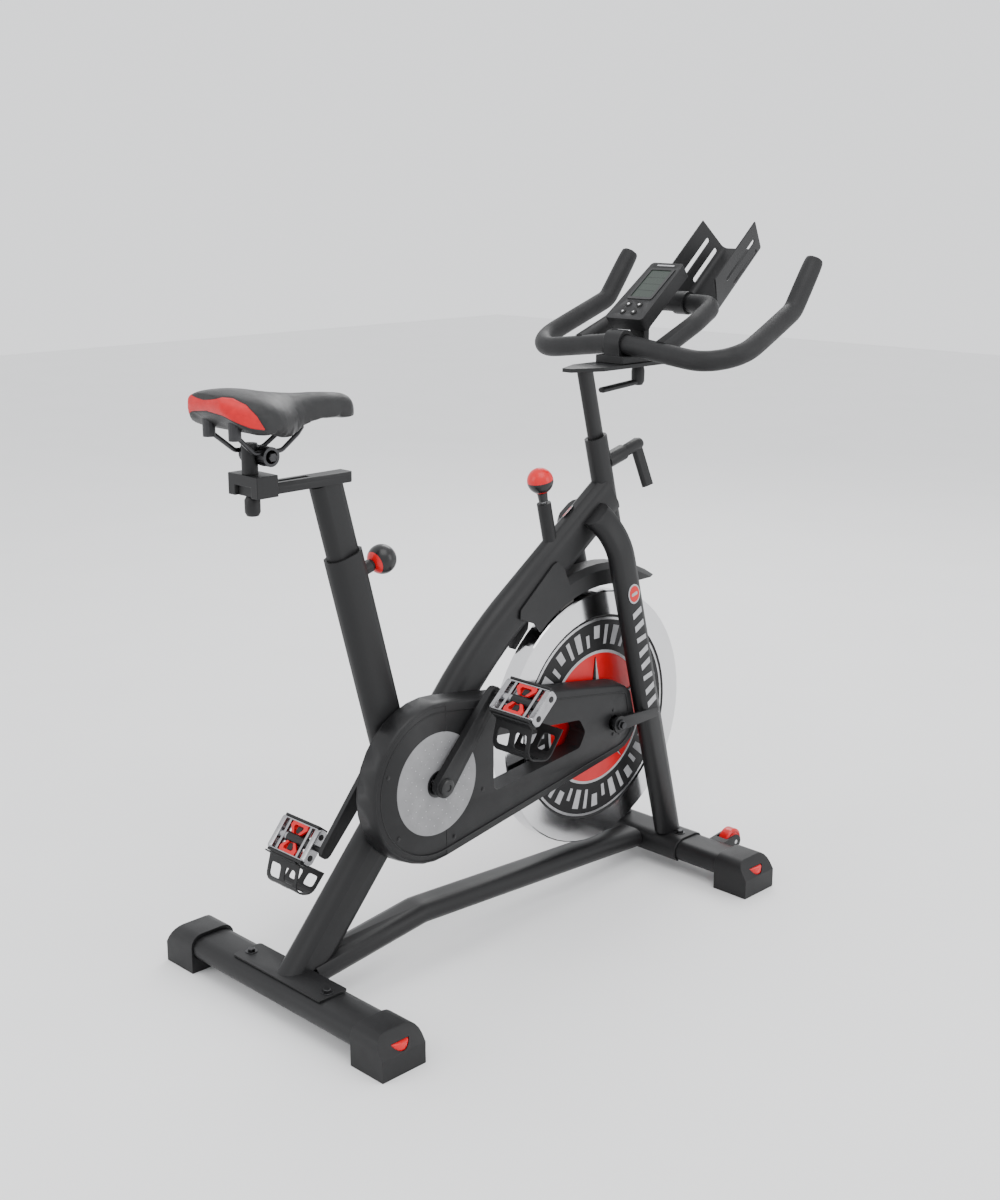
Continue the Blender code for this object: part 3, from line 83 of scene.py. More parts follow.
class Shader:
    """Principled material whose node tree is grown by the methods below."""

    def __init__(self, name, colour, roughness, metallic=0.0, **sockets):
        self.material = bpy.data.materials.new(name)
        self.material.use_nodes = True
        self.tree = self.material.node_tree
        self.bsdf = self.tree.nodes["Principled BSDF"]
        self.colour = colour
        self.roughness = roughness
        self.bsdf.inputs["Base Color"].default_value = (*colour, 1)
        self.bsdf.inputs["Roughness"].default_value = roughness
        self.bsdf.inputs["Metallic"].default_value = metallic
        for key, value in sockets.items():
            self.bsdf.inputs[key.replace("_", " ")].default_value = value
        self.place = self.node("ShaderNodeTexCoord").outputs["Object"]
        self.normal = None

    def node(self, kind, **settings):
        made = self.tree.nodes.new(kind)
        for key, value in settings.items():
            setattr(made, key, value)
        return made

    def link(self, output, socket):
        self.tree.links.new(output, socket)

    def noise(self, scale, detail=3.0, stretch=None):
        made = self.node("ShaderNodeTexNoise")
        made.inputs["Scale"].default_value = scale
        made.inputs["Detail"].default_value = detail
        place = self.place
        if stretch:
            mapping = self.node("ShaderNodeMapping")
            mapping.inputs["Scale"].default_value = stretch
            self.link(place, mapping.inputs["Vector"])
            place = mapping.outputs["Vector"]
        self.link(place, made.inputs["Vector"])
        return made.outputs["Fac"]

    def cells(self, scale, feature="F1"):
        made = self.node("ShaderNodeTexVoronoi", feature=feature)
        made.inputs["Scale"].default_value = scale
        self.link(self.place, made.inputs["Vector"])
        return made.outputs["Distance"]

    def spread(self, value, low, high, from_low=0.3, from_high=0.7):
        made = self.node("ShaderNodeMapRange")
        made.inputs["From Min"].default_value = from_low
        made.inputs["From Max"].default_value = from_high
        made.inputs["To Min"].default_value = low
        made.inputs["To Max"].default_value = high
        self.link(value, made.inputs["Value"])
        return made.outputs["Result"]

    def mixed(self, factor, first, second):
        made = self.node("ShaderNodeMix", data_type="RGBA")
        self.link(factor, made.inputs["Factor"])
        for socket, value in ((made.inputs[6], first), (made.inputs[7], second)):
            if isinstance(value, tuple):
                socket.default_value = (*value, 1)
            else:
                self.link(value, socket)
        return made.outputs[2]

    def mottle(self, scale, amount, detail=4.0):
        dark = tuple(c * (1 - amount) for c in self.colour)
        light = tuple(min(c * (1 + amount), 1) for c in self.colour)
        result = self.mixed(self.spread(self.noise(scale, detail), 0, 1), dark, light)
        self.link(result, self.bsdf.inputs["Base Color"])
        return result

    def vary_roughness(self, scale, amount, stretch=None):
        value = self.noise(scale, 4.0, stretch)
        low, high = self.roughness - amount, self.roughness + amount
        self.link(self.spread(value, low, high), self.bsdf.inputs["Roughness"])

    def bump(self, height, depth, distance=0.001):
        made = self.node("ShaderNodeBump")
        made.inputs["Strength"].default_value = depth
        made.inputs["Distance"].default_value = distance
        self.link(height, made.inputs["Height"])
        if self.normal:
            self.link(self.normal, made.inputs["Normal"])
        self.normal = made.outputs["Normal"]
        self.link(self.normal, self.bsdf.inputs["Normal"])

    def attribute(self, name):
        return self.node("ShaderNodeAttribute", attribute_name=name).outputs["Fac"]


def powder_coat(name, colour):
    """Satin powder coat: orange-peel ripple, fine speckle and slow gloss changes."""
    made = Shader(name, colour, 0.44, 0.0, Specular_IOR_Level=0.26)
    made.mottle(1400, 0.20)
    made.vary_roughness(9, 0.05)
    made.bump(made.noise(700, 2.0), 0.10, 0.0004)
    made.bump(made.noise(140, 1.0), 0.05, 0.0010)
    return made.material


def moulded(name, colour, roughness=0.48, grain=1100, depth=0.30):
    """Moulded plastic with a spark-eroded grain."""
    made = Shader(name, colour, roughness, 0.0, Specular_IOR_Level=0.30)
    made.mottle(60, 0.10)
    made.vary_roughness(25, 0.05)
    made.bump(made.cells(grain), depth, 0.00025)
    return made.material


def glossy(name, colour):
    """Glossy moulded plastic with slight sink marks and handling haze."""
    made = Shader(name, colour, 0.34, 0.0, Specular_IOR_Level=0.35, Coat_Weight=0.12, Coat_Roughness=0.10)
    made.mottle(35, 0.08)
    made.vary_roughness(18, 0.06)
    made.bump(made.noise(60, 1.0), 0.05, 0.001)
    return made.material


def polished(name, colour, roughness=0.06):
    """Polished or plated metal with faint swirls."""
    made = Shader(name, colour, roughness, 1.0)
    made.mottle(12, 0.03)
    made.vary_roughness(220, 0.025, (1, 6, 6))
    made.bump(made.noise(30, 2.0), 0.02, 0.001)
    return made.material


def brushed(name, colour, roughness=0.32, stretch=(1, 14, 14)):
    """Zinc-plated or machined steel with fine tool lines."""
    made = Shader(name, colour, roughness, 1.0)
    made.mottle(90, 0.10)
    made.vary_roughness(160, 0.08, stretch)
    made.bump(made.noise(240, 2.0, stretch), 0.12, 0.0003)
    return made.material


def soft_grip(name, colour):
    """Moulded foam grip: matt skin with fine pores."""
    made = Shader(name, colour, 0.58, 0.0, Specular_IOR_Level=0.30)
    made.mottle(500, 0.16)
    made.vary_roughness(30, 0.06)
    made.bump(made.cells(900), 0.35, 0.0003)
    made.bump(made.noise(90, 3.0), 0.10, 0.0008)
    return made.material


def felted(name, colour):
    """Felt: matt, mottled and fibrous."""
    made = Shader(name, colour, 0.95, 0.0, Sheen_Weight=0.4)
    made.mottle(700, 0.35)
    made.bump(made.noise(1200, 6.0), 0.8, 0.0006)
    return made.material


def display(name, colour):
    """Display window: grey-green glass with faint tone changes."""
    made = Shader(name, colour, 0.28, 0.0, Specular_IOR_Level=0.25)
    made.mottle(14, 0.10)
    made.vary_roughness(60, 0.03)
    return made.material


def dimpled(name, colour):
    """Grey moulded disc with a scatter of shallow dimples."""
    made = Shader(name, colour, 0.52)
    made.mottle(45, 0.10)
    made.vary_roughness(30, 0.05)
    pits = made.spread(made.cells(95), 0.0, 1.0, 0.10, 0.22)
    made.bump(pits, 0.45, 0.0008)
    made.bump(made.cells(1100), 0.15, 0.0002)
    return made.material


def saddle_leather(name, black, red):
    """Grained synthetic leather whose red panel is bounded by sewn seams."""
    made = Shader(name, black, 0.46, 0.0, Specular_IOR_Level=0.35)
    panel = made.attribute("panel")
    inside = made.spread(panel, 0.0, 1.0, -0.00025, 0.00025)
    dark = made.mottle(160, 0.25)
    shades = made.spread(made.noise(120, 4.0), 0, 1)
    bright = made.mixed(shades, tuple(c * 0.80 for c in red), red)
    made.link(made.mixed(inside, dark, bright), made.bsdf.inputs["Base Color"])
    made.vary_roughness(40, 0.07)
    creases = made.cells(420, "DISTANCE_TO_EDGE")
    made.bump(made.spread(creases, 0.0, 1.0, 0.0, 0.14), 0.30, 0.0003)
    groove = made.node("ShaderNodeMath", operation="ABSOLUTE")
    made.link(panel, groove.inputs[0])
    made.bump(made.spread(groove.outputs[0], 0.0, 1.0, 0.0, 0.0011), 0.55, 0.0012)
    return made.material


RED = (0.56, 0.001, 0.005)
PAINT = powder_coat("charcoal_powder_coat", (0.0095, 0.0095, 0.0100))
PLASTIC = moulded("black_moulded_plastic", (0.0075, 0.0075, 0.0080))
COVER = moulded("cover_plastic", (0.0080, 0.0080, 0.0085), 0.42, 1500, 0.20)
RED_PLASTIC = glossy("red_plastic", RED)
RED_PAINT = glossy("red_wheel_paint", (0.52, 0.001, 0.004))
GLOSS_BLACK = glossy("gloss_black_plastic", (0.006, 0.006, 0.0065))
CHROME = polished("mirror_chrome", (0.66, 0.66, 0.67), 0.13)
STEEL = brushed("zinc_plated_steel", (0.46, 0.46, 0.47))
BLACK_STEEL = brushed("blackened_steel", (0.050, 0.050, 0.052), 0.36)
ALLOY = brushed("pedal_alloy", (0.34, 0.34, 0.35), 0.26, (6, 3, 3))
WEB_PAINT = powder_coat("wheel_web_paint", (0.0060, 0.0060, 0.0065))
MARK = moulded("light_grey_print", (0.34, 0.34, 0.35), 0.45, 1500, 0.1)
WHITE_MARK = moulded("white_print", (0.70, 0.70, 0.70), 0.45, 1500, 0.1)
RUBBER = soft_grip("black_rubber", (0.007, 0.007, 0.007))
GRIP = soft_grip("grip_foam", (0.0100, 0.0100, 0.0105))
FELT = felted("brake_felt", (0.030, 0.028, 0.026))
SCREEN = display("display_window", (0.030, 0.040, 0.033))
DISC = dimpled("dimpled_grey_disc", (0.205, 0.205, 0.210))
LEATHER = saddle_leather("saddle_leather", (0.0085, 0.0085, 0.0090), (0.56, 0.001, 0.006))

FINISHES = {
    "frame_paint": PAINT, "black_plastic": PLASTIC, "cover_plastic": COVER, "red_plastic": RED_PLASTIC,
    "chrome": CHROME, "steel": STEEL, "web_paint": WEB_PAINT, "alloy": ALLOY, "rubber": RUBBER,
    "grip_rubber": GRIP, "saddle_skin": LEATHER, "screen": SCREEN, "felt": FELT,
}


def dress_cad():
    """Gives every CAD node the finish of its material slot, except the flywheel axle, saddle rails and saddle
    clamp, which get blackened steel.
    """
    blackened = {"flywheel_axle", "saddle_rails", "saddle_clamp"}
    for name, node in NODES.items():
        node.data.materials.clear()
        node.data.materials.append(BLACK_STEEL if name in blackened else FINISHES[MATERIAL_SLOTS[name]])


# ---------------------------------------------------------------- mesh helpers

def piece(name, mesh, materials, body, replaces=(), angle=35):
    """Turns a bmesh into a piece that rides on a body."""
    bmesh.ops.recalc_face_normals(mesh, faces=mesh.faces)
    data = bpy.data.meshes.new(name)
    mesh.to_mesh(data)
    mesh.free()
    data.shade_smooth()
    data.set_sharp_from_angle(angle=math.radians(angle))
    made = bpy.data.objects.new(name, data)
    for material in materials:
        data.materials.append(material)
    bpy.context.collection.objects.link(made)
    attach(made, body)
    if replaces:
        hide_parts(*replaces)
    return made


def basis(axis):
    """Two unit directions square to an axis."""
    axis = axis.normalized()
    hint = X if abs(axis.dot(Z)) > NEARLY_PARALLEL else Z
    u = hint.cross(axis).normalized()
    return u, axis.cross(u)


def skin(mesh, first, second, material=0):
    """Faces between two rings of points."""
    for k in range(len(first)):
        n = (k + 1) % len(first)
        mesh.faces.new((first[k], first[n], second[n], second[k])).material_index = material


def lathe(mesh, profile, centre, axis, steps=48, radius_at=None, hollow=False):
    """Turned solid from (radius, height, material) rows: capped, or a hollow closed ring."""
    u, v = basis(axis)
    axis = axis.normalized()
    rings = []
    for radius, height, _ in profile:
        ring = []
        for k in range(steps):
            angle = 2 * math.pi * k / steps
            r = radius * (radius_at(angle) if radius_at else 1)
            point = centre + axis * height + (u * math.cos(angle) + v * math.sin(angle)) * r
            ring.append(mesh.verts.new(point))
        rings.append(ring)
    for i in range(len(rings) if hollow else len(rings) - 1):
        after = (i + 1) % len(rings)
        skin(mesh, rings[i], rings[after], profile[after][2])
    if not hollow:
        mesh.faces.new(rings[0]).material_index = profile[0][2]
        mesh.faces.new(rings[-1]).material_index = profile[-1][2]


def prism(mesh, outline, origin, u, v, low, high, material=0, chamfer=0.0):
    """Plate from a 2-D outline, extruded along u x v, with an optional chamfered top edge."""
    normal = u.cross(v).normalized()
    centre = [sum(p[i] for p in outline) / len(outline) for i in (0, 1)]
    size = max(math.dist(p, centre) for p in outline)
    rows = [(low, 1.0), (high - chamfer, 1.0)]
    if chamfer:
        rows.append((high, 1.0 - chamfer / size))
    rings = []
    for height, scale in rows:
        rings.append([mesh.verts.new(origin + u * (centre[0] + (a - centre[0]) * scale)
                                     + v * (centre[1] + (b - centre[1]) * scale) + normal * height)
                      for a, b in outline])
    for first, second in zip(rings, rings[1:]):
        skin(mesh, first, second, material)
    mesh.faces.new(rings[0][::-1]).material_index = material
    mesh.faces.new(rings[-1]).material_index = material


def prism_ring(mesh, outline, origin, u, v, low, high, material=0):
    """Plate from an outline that may be hollowed, its two faces filled by triangles."""
    normal = u.cross(v).normalized()
    rings = [[mesh.verts.new(origin + u * a + v * b + normal * height) for a, b in outline]
             for height in (low, high)]
    count = len(outline)
    low_ring, high_ring = rings
    made = []
    for k in range(count):
        n = (k + 1) % count
        made.append(mesh.faces.new((low_ring[k], low_ring[n], high_ring[n], high_ring[k])))
    made += [mesh.faces.new(low_ring[::-1]), mesh.faces.new(high_ring)]
    for face in made:
        face.material_index = material
    bmesh.ops.triangulate(mesh, faces=made[-2:])


def rounded_rectangle(width, height, radius, steps=5):
    """Outline of a rectangle with round corners, centred on the origin."""
    points = []
    for cx, cy, start in ((1, -1, -90), (1, 1, 0), (-1, 1, 90), (-1, -1, 180)):
        for i in range(steps + 1):
            angle = math.radians(start + 90 * i / steps)
            points.append((cx * (width / 2 - radius) + radius * math.cos(angle),
                           cy * (height / 2 - radius) + radius * math.sin(angle)))
    return points


def circle(radius, steps=32, start=0.0):
    """Outline of a circle, or of a regular polygon when it has few steps."""
    return [(radius * math.cos(start + 2 * math.pi * k / steps),
             radius * math.sin(start + 2 * math.pi * k / steps)) for k in range(steps)]


def tube(mesh, path, radius, sides, closed=False):
    """Round bar along a path of points."""
    count = len(path)
    rings = []
    side = None
    for i, point in enumerate(path):
        before = path[i - 1] if i or closed else point
        after = path[(i + 1) % count] if i < count - 1 or closed else point
        along = (after - before).normalized()
        if side is None:
            side = basis(along)[0]
        side = (side - along * side.dot(along)).normalized()
        up = along.cross(side)
        rings.append([mesh.verts.new(point + (side * math.cos(a) + up * math.sin(a)) * radius)
                      for a in (2 * math.pi * k / sides for k in range(sides))])
    for i in range(count if closed else count - 1):
        skin(mesh, rings[i], rings[(i + 1) % count])
    if not closed:
        mesh.faces.new(rings[0])
        mesh.faces.new(rings[-1])


def cad_copy(node):
    """The CAD node's mesh with its doubled points merged."""
    mesh = bmesh.new()
    mesh.from_mesh(NODES[node].data)
    bmesh.ops.remove_doubles(mesh, verts=mesh.verts, dist=MERGE_DISTANCE)
    bmesh.ops.dissolve_degenerate(mesh, edges=mesh.edges, dist=NO_LENGTH)
    return mesh


def soften(node, body):
    """Stands in for a CAD node with the same shape, its hard edges rounded over."""
    mesh = cad_copy(node)
    bmesh.ops.dissolve_limit(mesh, angle_limit=FLAT, verts=mesh.verts, edges=mesh.edges)
    slot = MATERIAL_SLOTS[node]
    made = piece(node + "_soft", mesh, [FINISHES[slot]], body, (node,), angle=50)
    bevel = made.modifiers.new("round_over", "BEVEL")
    bevel.width = EDGE_WIDTH
    bevel.segments = 2
    bevel.limit_method = "ANGLE"
    bevel.angle_limit = HARD_EDGE
    bevel.use_clamp_overlap = True
    bevel.harden_normals = False


def bolt(name, centre, axis, radius, height, washer, material=BLACK_STEEL):
    """Hex-head bolt on the frame, over a washer that is so many times its radius."""
    mesh = bmesh.new()
    rim, thickness = radius * washer, 0.0012
    lathe(mesh, [(rim, 0.0, 0), (rim, 0.0009, 0), (rim * 0.96, thickness, 0)], centre, axis, 32)
    u, v = basis(axis)
    head = centre + axis.normalized() * thickness
    prism(mesh, circle(radius, 6), head, u, v, 0.0, height, 0, radius * 0.14)
    piece(name, mesh, [material], "frame")


# ---------------------------------------------------------------- stage, light and camera

CAMERA_PLACE = (-1.8270, 1.86805, 1.2448)
CAMERA_TURN, CAMERA_DIP = 0.7825, 0.2559
CAMERA_LENS = 48.51
LIGHT_TARGET = Vector((0, 0, 0.6))
WORLD_COLOUR, WORLD_STRENGTH = (0.97, 0.98, 1.0, 1), 1.5


def build_stage():
    """Pale floor under an even white sky."""
    mesh = bmesh.new()
    bmesh.ops.create_grid(mesh, x_segments=8, y_segments=8, size=9)
    data = bpy.data.meshes.new("floor")
    mesh.to_mesh(data)
    mesh.free()
    floor = bpy.data.objects.new("floor", data)
    bpy.context.collection.objects.link(floor)
    pale = Shader("pale_floor", (0.86, 0.86, 0.86), 0.75)
    pale.mottle(3, 0.01)
    data.materials.append(pale.material)
    world = bpy.data.worlds.new("studio")
    world.use_nodes = True
    background = world.node_tree.nodes["Background"]
    background.inputs["Color"].default_value = WORLD_COLOUR
    background.inputs["Strength"].default_value = WORLD_STRENGTH
    bpy.context.scene.world = world


def area_light(name, place, size, power, height=None):
    """Rectangular soft box turned to the middle of the bike."""
    data = bpy.data.lights.new(name, "AREA")
    data.shape = "RECTANGLE"
    data.size = size
    data.size_y = height or size
    data.energy = power
    light = bpy.data.objects.new(name, data)
    light.location = place
    light.rotation_mode = "QUATERNION"
    light.rotation_quaternion = (LIGHT_TARGET - Vector(place)).to_track_quat("-Z", "Y")
    bpy.context.collection.objects.link(light)


def build_lights():
    area_light("key_softbox", (-1.2, 0.6, 3.4), 2.4, 55)
    area_light("left_softbox", (1.4, 3.4, 1.9), 1.6, 30, 2.2)
    area_light("right_softbox", (-3.4, -1.6, 1.6), 1.4, 35, 2.4)
    area_light("rim_softbox", (1.6, -2.6, 2.8), 1.8, 45)


def build_camera():
    """Stands behind the bike's right side, looking forward and a little down."""
    data = bpy.data.cameras.new("camera")
    data.sensor_width = 36
    data.lens = CAMERA_LENS
    data.clip_start, data.clip_end = 0.05, 60
    camera = bpy.data.objects.new("camera", data)
    camera.location = CAMERA_PLACE
    level = math.cos(CAMERA_DIP)
    looking = Vector((math.sin(CAMERA_TURN) * level, -math.cos(CAMERA_TURN) * level,
                      -math.sin(CAMERA_DIP)))
    camera.rotation_mode = "QUATERNION"
    camera.rotation_quaternion = looking.to_track_quat("-Z", "Y")
    bpy.context.collection.objects.link(camera)
    bpy.context.scene.camera = camera


# ---------------------------------------------------------------- saddle

# Edges of the red side panel: distance round from the middle of the rear, then height.
PANEL_TOP = [(-0.02, 0.9530), (0.0, 0.9525), (0.018, 0.9545), (0.042, 0.9590), (0.062, 0.9575),
             (0.088, 0.9490), (0.108, 0.9340), (0.1230, 0.9140), (0.30, 0.70)]
PANEL_LOW = [(-0.02, 0.9385), (0.0, 0.9380), (0.045, 0.9330), (0.072, 0.9250), (0.096, 0.9180),
             (0.1230, 0.9140), (0.30, 0.90)]
PANEL_END = 0.13                  # distance round at which the sewn groove stops
SEAM = 0.0011                     # half width of the sewn groove
SEAM_DEPTH = 0.0007
NOSE_START, NOSE_REACH, NOSE_DROP = 0.150, 0.080, 0.005
HOLLOW_DEPTH = 0.003              # points this far under the dome belong to the hollow
SKIRT_LIFT = 0.002                # the closed underside lies this far above the skirt
SKIN_VOXEL = 0.0042
SWELL_INSET, SWELL_CAP = 0.0010, 0.0030
SWELL_STEPS, SWELL_PRESSURE = 12, 4


def apply_modifiers(made):
    """Makes the shape that the modifiers give the object's own."""
    shaped = made.evaluated_get(bpy.context.evaluated_depsgraph_get())
    data = bpy.data.meshes.new_from_object(shaped)
    made.modifiers.clear()
    made.data = data


def between(table, value):
    """Straight-line value between rows of a table."""
    for (a, low), (b, high) in zip(table, table[1:]):
        if value <= b:
            return low + (high - low) * (value - a) / (b - a)
    return table[-1][1]


def swell(made, inset, cap):
    """Pressure cloth pass: skin drawn in by inset, blown out by cloth, moved no more than cap."""
    bpy.context.view_layer.objects.active = made
    mesh = bmesh.new()
    mesh.from_mesh(made.data)
    mesh.normal_update()
    for vertex in mesh.verts:
        vertex.co -= vertex.normal * inset
    mesh.to_mesh(made.data)
    mesh.free()
    start = [vertex.co.copy() for vertex in made.data.vertices]
    cloth = made.modifiers.new("swell", "CLOTH")
    cloth.settings.use_pressure = True
    cloth.settings.uniform_pressure_force = SWELL_PRESSURE
    cloth.settings.effector_weights.gravity = 0
    cloth.settings.quality = 5
    scene = bpy.context.scene
    for step in range(1, SWELL_STEPS + 1):
        scene.frame_set(step)
    shaped = made.evaluated_get(bpy.context.evaluated_depsgraph_get())
    ends = [vertex.co.copy() for vertex in shaped.data.vertices]
    made.modifiers.remove(cloth)
    scene.frame_set(1)
    for vertex, first, last in zip(made.data.vertices, start, ends):
        move = last - first
        if move.length > cap:
            move = move.normalized() * cap
        vertex.co = first + move


def filled_pad():
    """The pad with its hollow underside closed and its nose skirt drawn down."""
    mesh = cad_copy("saddle_pad")
    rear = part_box("saddle_pad")[1].y
    rows = {}
    for vertex in mesh.verts:
        rows.setdefault(round(vertex.co.y, 4), []).append(vertex)
    for row in rows.values():
        skirt = min(vertex.co.z for vertex in row)
        crown = max(vertex.co.z for vertex in row)
        half = max(abs(vertex.co.x) for vertex in row)
        forward = min(max((rear - row[0].co.y - NOSE_START) / NOSE_REACH, 0), 1)
        for vertex in row:
            share = min(abs(vertex.co.x) / half, 1)
            dome = skirt + (crown - skirt) * (1 - share ** 2) ** 0.25
            if vertex.co.z < dome - HOLLOW_DEPTH:
                vertex.co.z = skirt + SKIRT_LIFT
            vertex.co.z -= NOSE_DROP * forward * (crown - vertex.co.z) / max(crown - skirt, 0.001)
    return mesh


def build_saddle():
    """Leather-covered pad: remeshed CAD shape, swollen as cloth, with its panel and seams marked."""
    mesh = filled_pad()
    data = bpy.data.meshes.new("saddle_shape")
    mesh.to_mesh(data)
    mesh.free()
    made = bpy.data.objects.new("saddle_cover", data)
    bpy.context.collection.objects.link(made)
    remesh = made.modifiers.new("even", "REMESH")
    remesh.mode = "VOXEL"
    remesh.voxel_size = SKIN_VOXEL
    smooth = made.modifiers.new("smooth", "SMOOTH")
    smooth.iterations = 3
    apply_modifiers(made)
    swell(made, SWELL_INSET, SWELL_CAP)
    finer = made.modifiers.new("finer", "SUBSURF")
    finer.levels = finer.render_levels = 1
    apply_modifiers(made)
    fine = made.data
    fine.name = "saddle_cover"
    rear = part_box("saddle_pad")[1].y
    panel = fine.attributes.new("panel", "FLOAT", "POINT")
    for vertex in fine.vertices:
        around = abs(vertex.co.x) + rear - vertex.co.y
        height = vertex.co.z
        inside = min(between(PANEL_TOP, around) - height, height - between(PANEL_LOW, around))
        panel.data[vertex.index].value = inside
        if abs(inside) < SEAM and around < PANEL_END:
            vertex.co -= vertex.normal * SEAM_DEPTH * (1 - abs(inside) / SEAM)
    fine.materials.clear()
    fine.materials.append(LEATHER)
    fine.shade_smooth()
    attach(made, "saddle")
    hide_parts("saddle_pad")


def build_saddle_fittings():
    """Serrated cheeks and hex nuts on the two ends of the saddle clamp."""
    low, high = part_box("saddle_clamp")
    outer = high.x
    radius = (high.z - low.z) / 2
    teeth = 28
    mesh = bmesh.new()
    for sign in (-1, 1):
        lathe(mesh, [(radius * 0.93, 0.0080, 0), (radius, 0.0090, 0), (radius, outer - 0.0120, 0)],
              TILT, X * sign, teeth * 2, radius_at=lambda a: 1 + 0.035 * math.cos(a * teeth))
        lathe(mesh, [(radius * 0.96, outer - 0.0118, 0), (radius * 0.98, outer - 0.0020, 0),
                     (radius * 0.90, outer - 0.0004, 0), (radius * 0.70, outer, 0)], TILT, X * sign, 40)
        u, v = basis(X * sign)
        prism(mesh, circle(0.0072, 6), TILT + X * sign * outer, u, v, 0.0, 0.0045, 0, 0.0010)
    piece("saddle_clamp_cheeks", mesh, [BLACK_STEEL], "saddle", angle=30)


# ---------------------------------------------------------------- flywheel

WEB_FACE = 0.0150                 # the web's side faces lie this far from its middle plane
MARK_COUNT = 40
# Half angle, inner radius and outer radius of the marks, repeated round the wheel.
WHEEL_MARKS = [(0.046, 0.1340, 0.1690), (0.026, 0.1340, 0.1690), (0.046, 0.1460, 0.1690),
               (0.026, 0.1340, 0.1570)]
STAR_POINTS, STAR_TURN = 5, 0.35
STAR_TIP, STAR_ROOT, STAR_FOOT, STAR_SPREAD = 0.1130, 0.0420, 0.0430, 0.30
NUT_DEPTH = 0.0138                # from the end of the axle to the leg under its nut


def on_circle(radius, angle):
    return radius * math.cos(angle), radius * math.sin(angle)


def build_flywheel_faces():
    """Painted face rings, marks and star on both sides of the wheel, and the axle's nuts."""
    low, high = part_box("flywheel_web")
    web_outer = (high.z - low.z) / 2
    step = WEB_FACE + LIFT
    for side, sign in SIDES.items():
        axis = X * sign
        mesh = bmesh.new()
        rows = [(web_outer - 0.0045, step, 0), (web_outer - 0.0050, step + 0.0010, 0),
                (0.1780, step + 0.0010, 0), (0.1775, step + 0.0004, 1), (0.1230, step + 0.0004, 1),
                (0.1225, step + 0.0010, 2), (0.1180, step + 0.0010, 2), (0.1175, step + 0.0005, 3),
                (0.0400, step + 0.0018, 3), (0.0395, step + 0.0026, 4), (0.0315, step + 0.0030, 4),
                (0.0312, step, 4)]
        lathe(mesh, rows, WHEEL, axis, 96, hollow=True)
        piece(f"flywheel_face_{side}", mesh, [STEEL, WEB_PAINT, MARK, RED_PAINT, WEB_PAINT],
              "flywheel", angle=30)
        u, v = basis(axis)
        marks = bmesh.new()
        for k in range(MARK_COUNT):
            wide, inner, outer = WHEEL_MARKS[k % len(WHEEL_MARKS)]
            angle = 2 * math.pi * k / MARK_COUNT
            corners = [on_circle(radius, angle + lean)
                       for radius, lean in ((inner, -wide), (outer, -wide), (outer, wide), (inner, wide))]
            prism(marks, corners, WHEEL, u, v, step + 0.0004, step + 0.0009)
        piece(f"flywheel_marks_{side}", marks, [MARK], "flywheel")
        star = bmesh.new()
        for k in range(STAR_POINTS):
            middle = 2 * math.pi * k / STAR_POINTS + STAR_TURN
            tip, root = on_circle(STAR_TIP, middle), on_circle(STAR_ROOT, middle)
            for half, material in ((STAR_SPREAD, 0), (-STAR_SPREAD, 1)):
                foot = on_circle(STAR_FOOT, middle + half)
                outline = [tip, root, foot] if half < 0 else [tip, foot, root]
                prism(star, outline, WHEEL, u, v, step + 0.0008, step + 0.0026, material)
        piece(f"flywheel_star_{side}", star, [WEB_PAINT, MARK], "flywheel")
    low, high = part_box("flywheel_axle")
    for side, sign in SIDES.items():
        end = abs(low.x if sign < 0 else high.x) - NUT_DEPTH
        bolt(f"axle_nut_{side}", Vector((sign * end, WHEEL.y, WHEEL.z)), X * sign, 0.0095, 0.0080, 1.45)


# ---------------------------------------------------------------- belt cover

def loop_points(rear_radius, front_radius, rear, front, steps=40):
    """Outline round two circles and the straight tangents between them."""
    span = math.dist(rear, front)
    heading = math.atan2(front[1] - rear[1], front[0] - rear[0])
    lean = math.acos((rear_radius - front_radius) / span)
    points = []
    for centre, radius, start, end in ((front, front_radius, -lean, lean),
                                       (rear, rear_radius, lean, 2 * math.pi - lean)):
        for i in range(steps + 1):
            angle = heading + start + (end - start) * i / steps
            points.append((centre[0] + radius * math.cos(angle), centre[1] + radius * math.sin(angle)))
    return points


COVER_FRONT_RADIUS = 0.0680
COVER_FRONT_SHIFT, COVER_FRONT_RISE = 0.0027, 0.0035      # from the wheel's axis to the front end's
# Inset from the cover's edge, depth in its face and thickness of the raised beads.
BEADS = [(0.0185, 0.0001, 0.0011), (0.0090, -0.0002, 0.0009)]
EDGE_ROUND = 0.0078               # width of the cover's rounded edge
FACE_TOLERANCE = 0.0004
# Radius and number of the dimples in each ring of the disc.
DIMPLES = [(0.036, 12), (0.047, 16), (0.058, 20), (0.069, 24)]
RIVETS = [(0.002, 0.0240), (0.002, -0.0210), (-0.0150, -0.0230)]
SCREW_CIRCLE, SCREW_ANGLES = 0.1085, (70, 130, 200, 250, 300)
SCREW_SINK = 0.0002


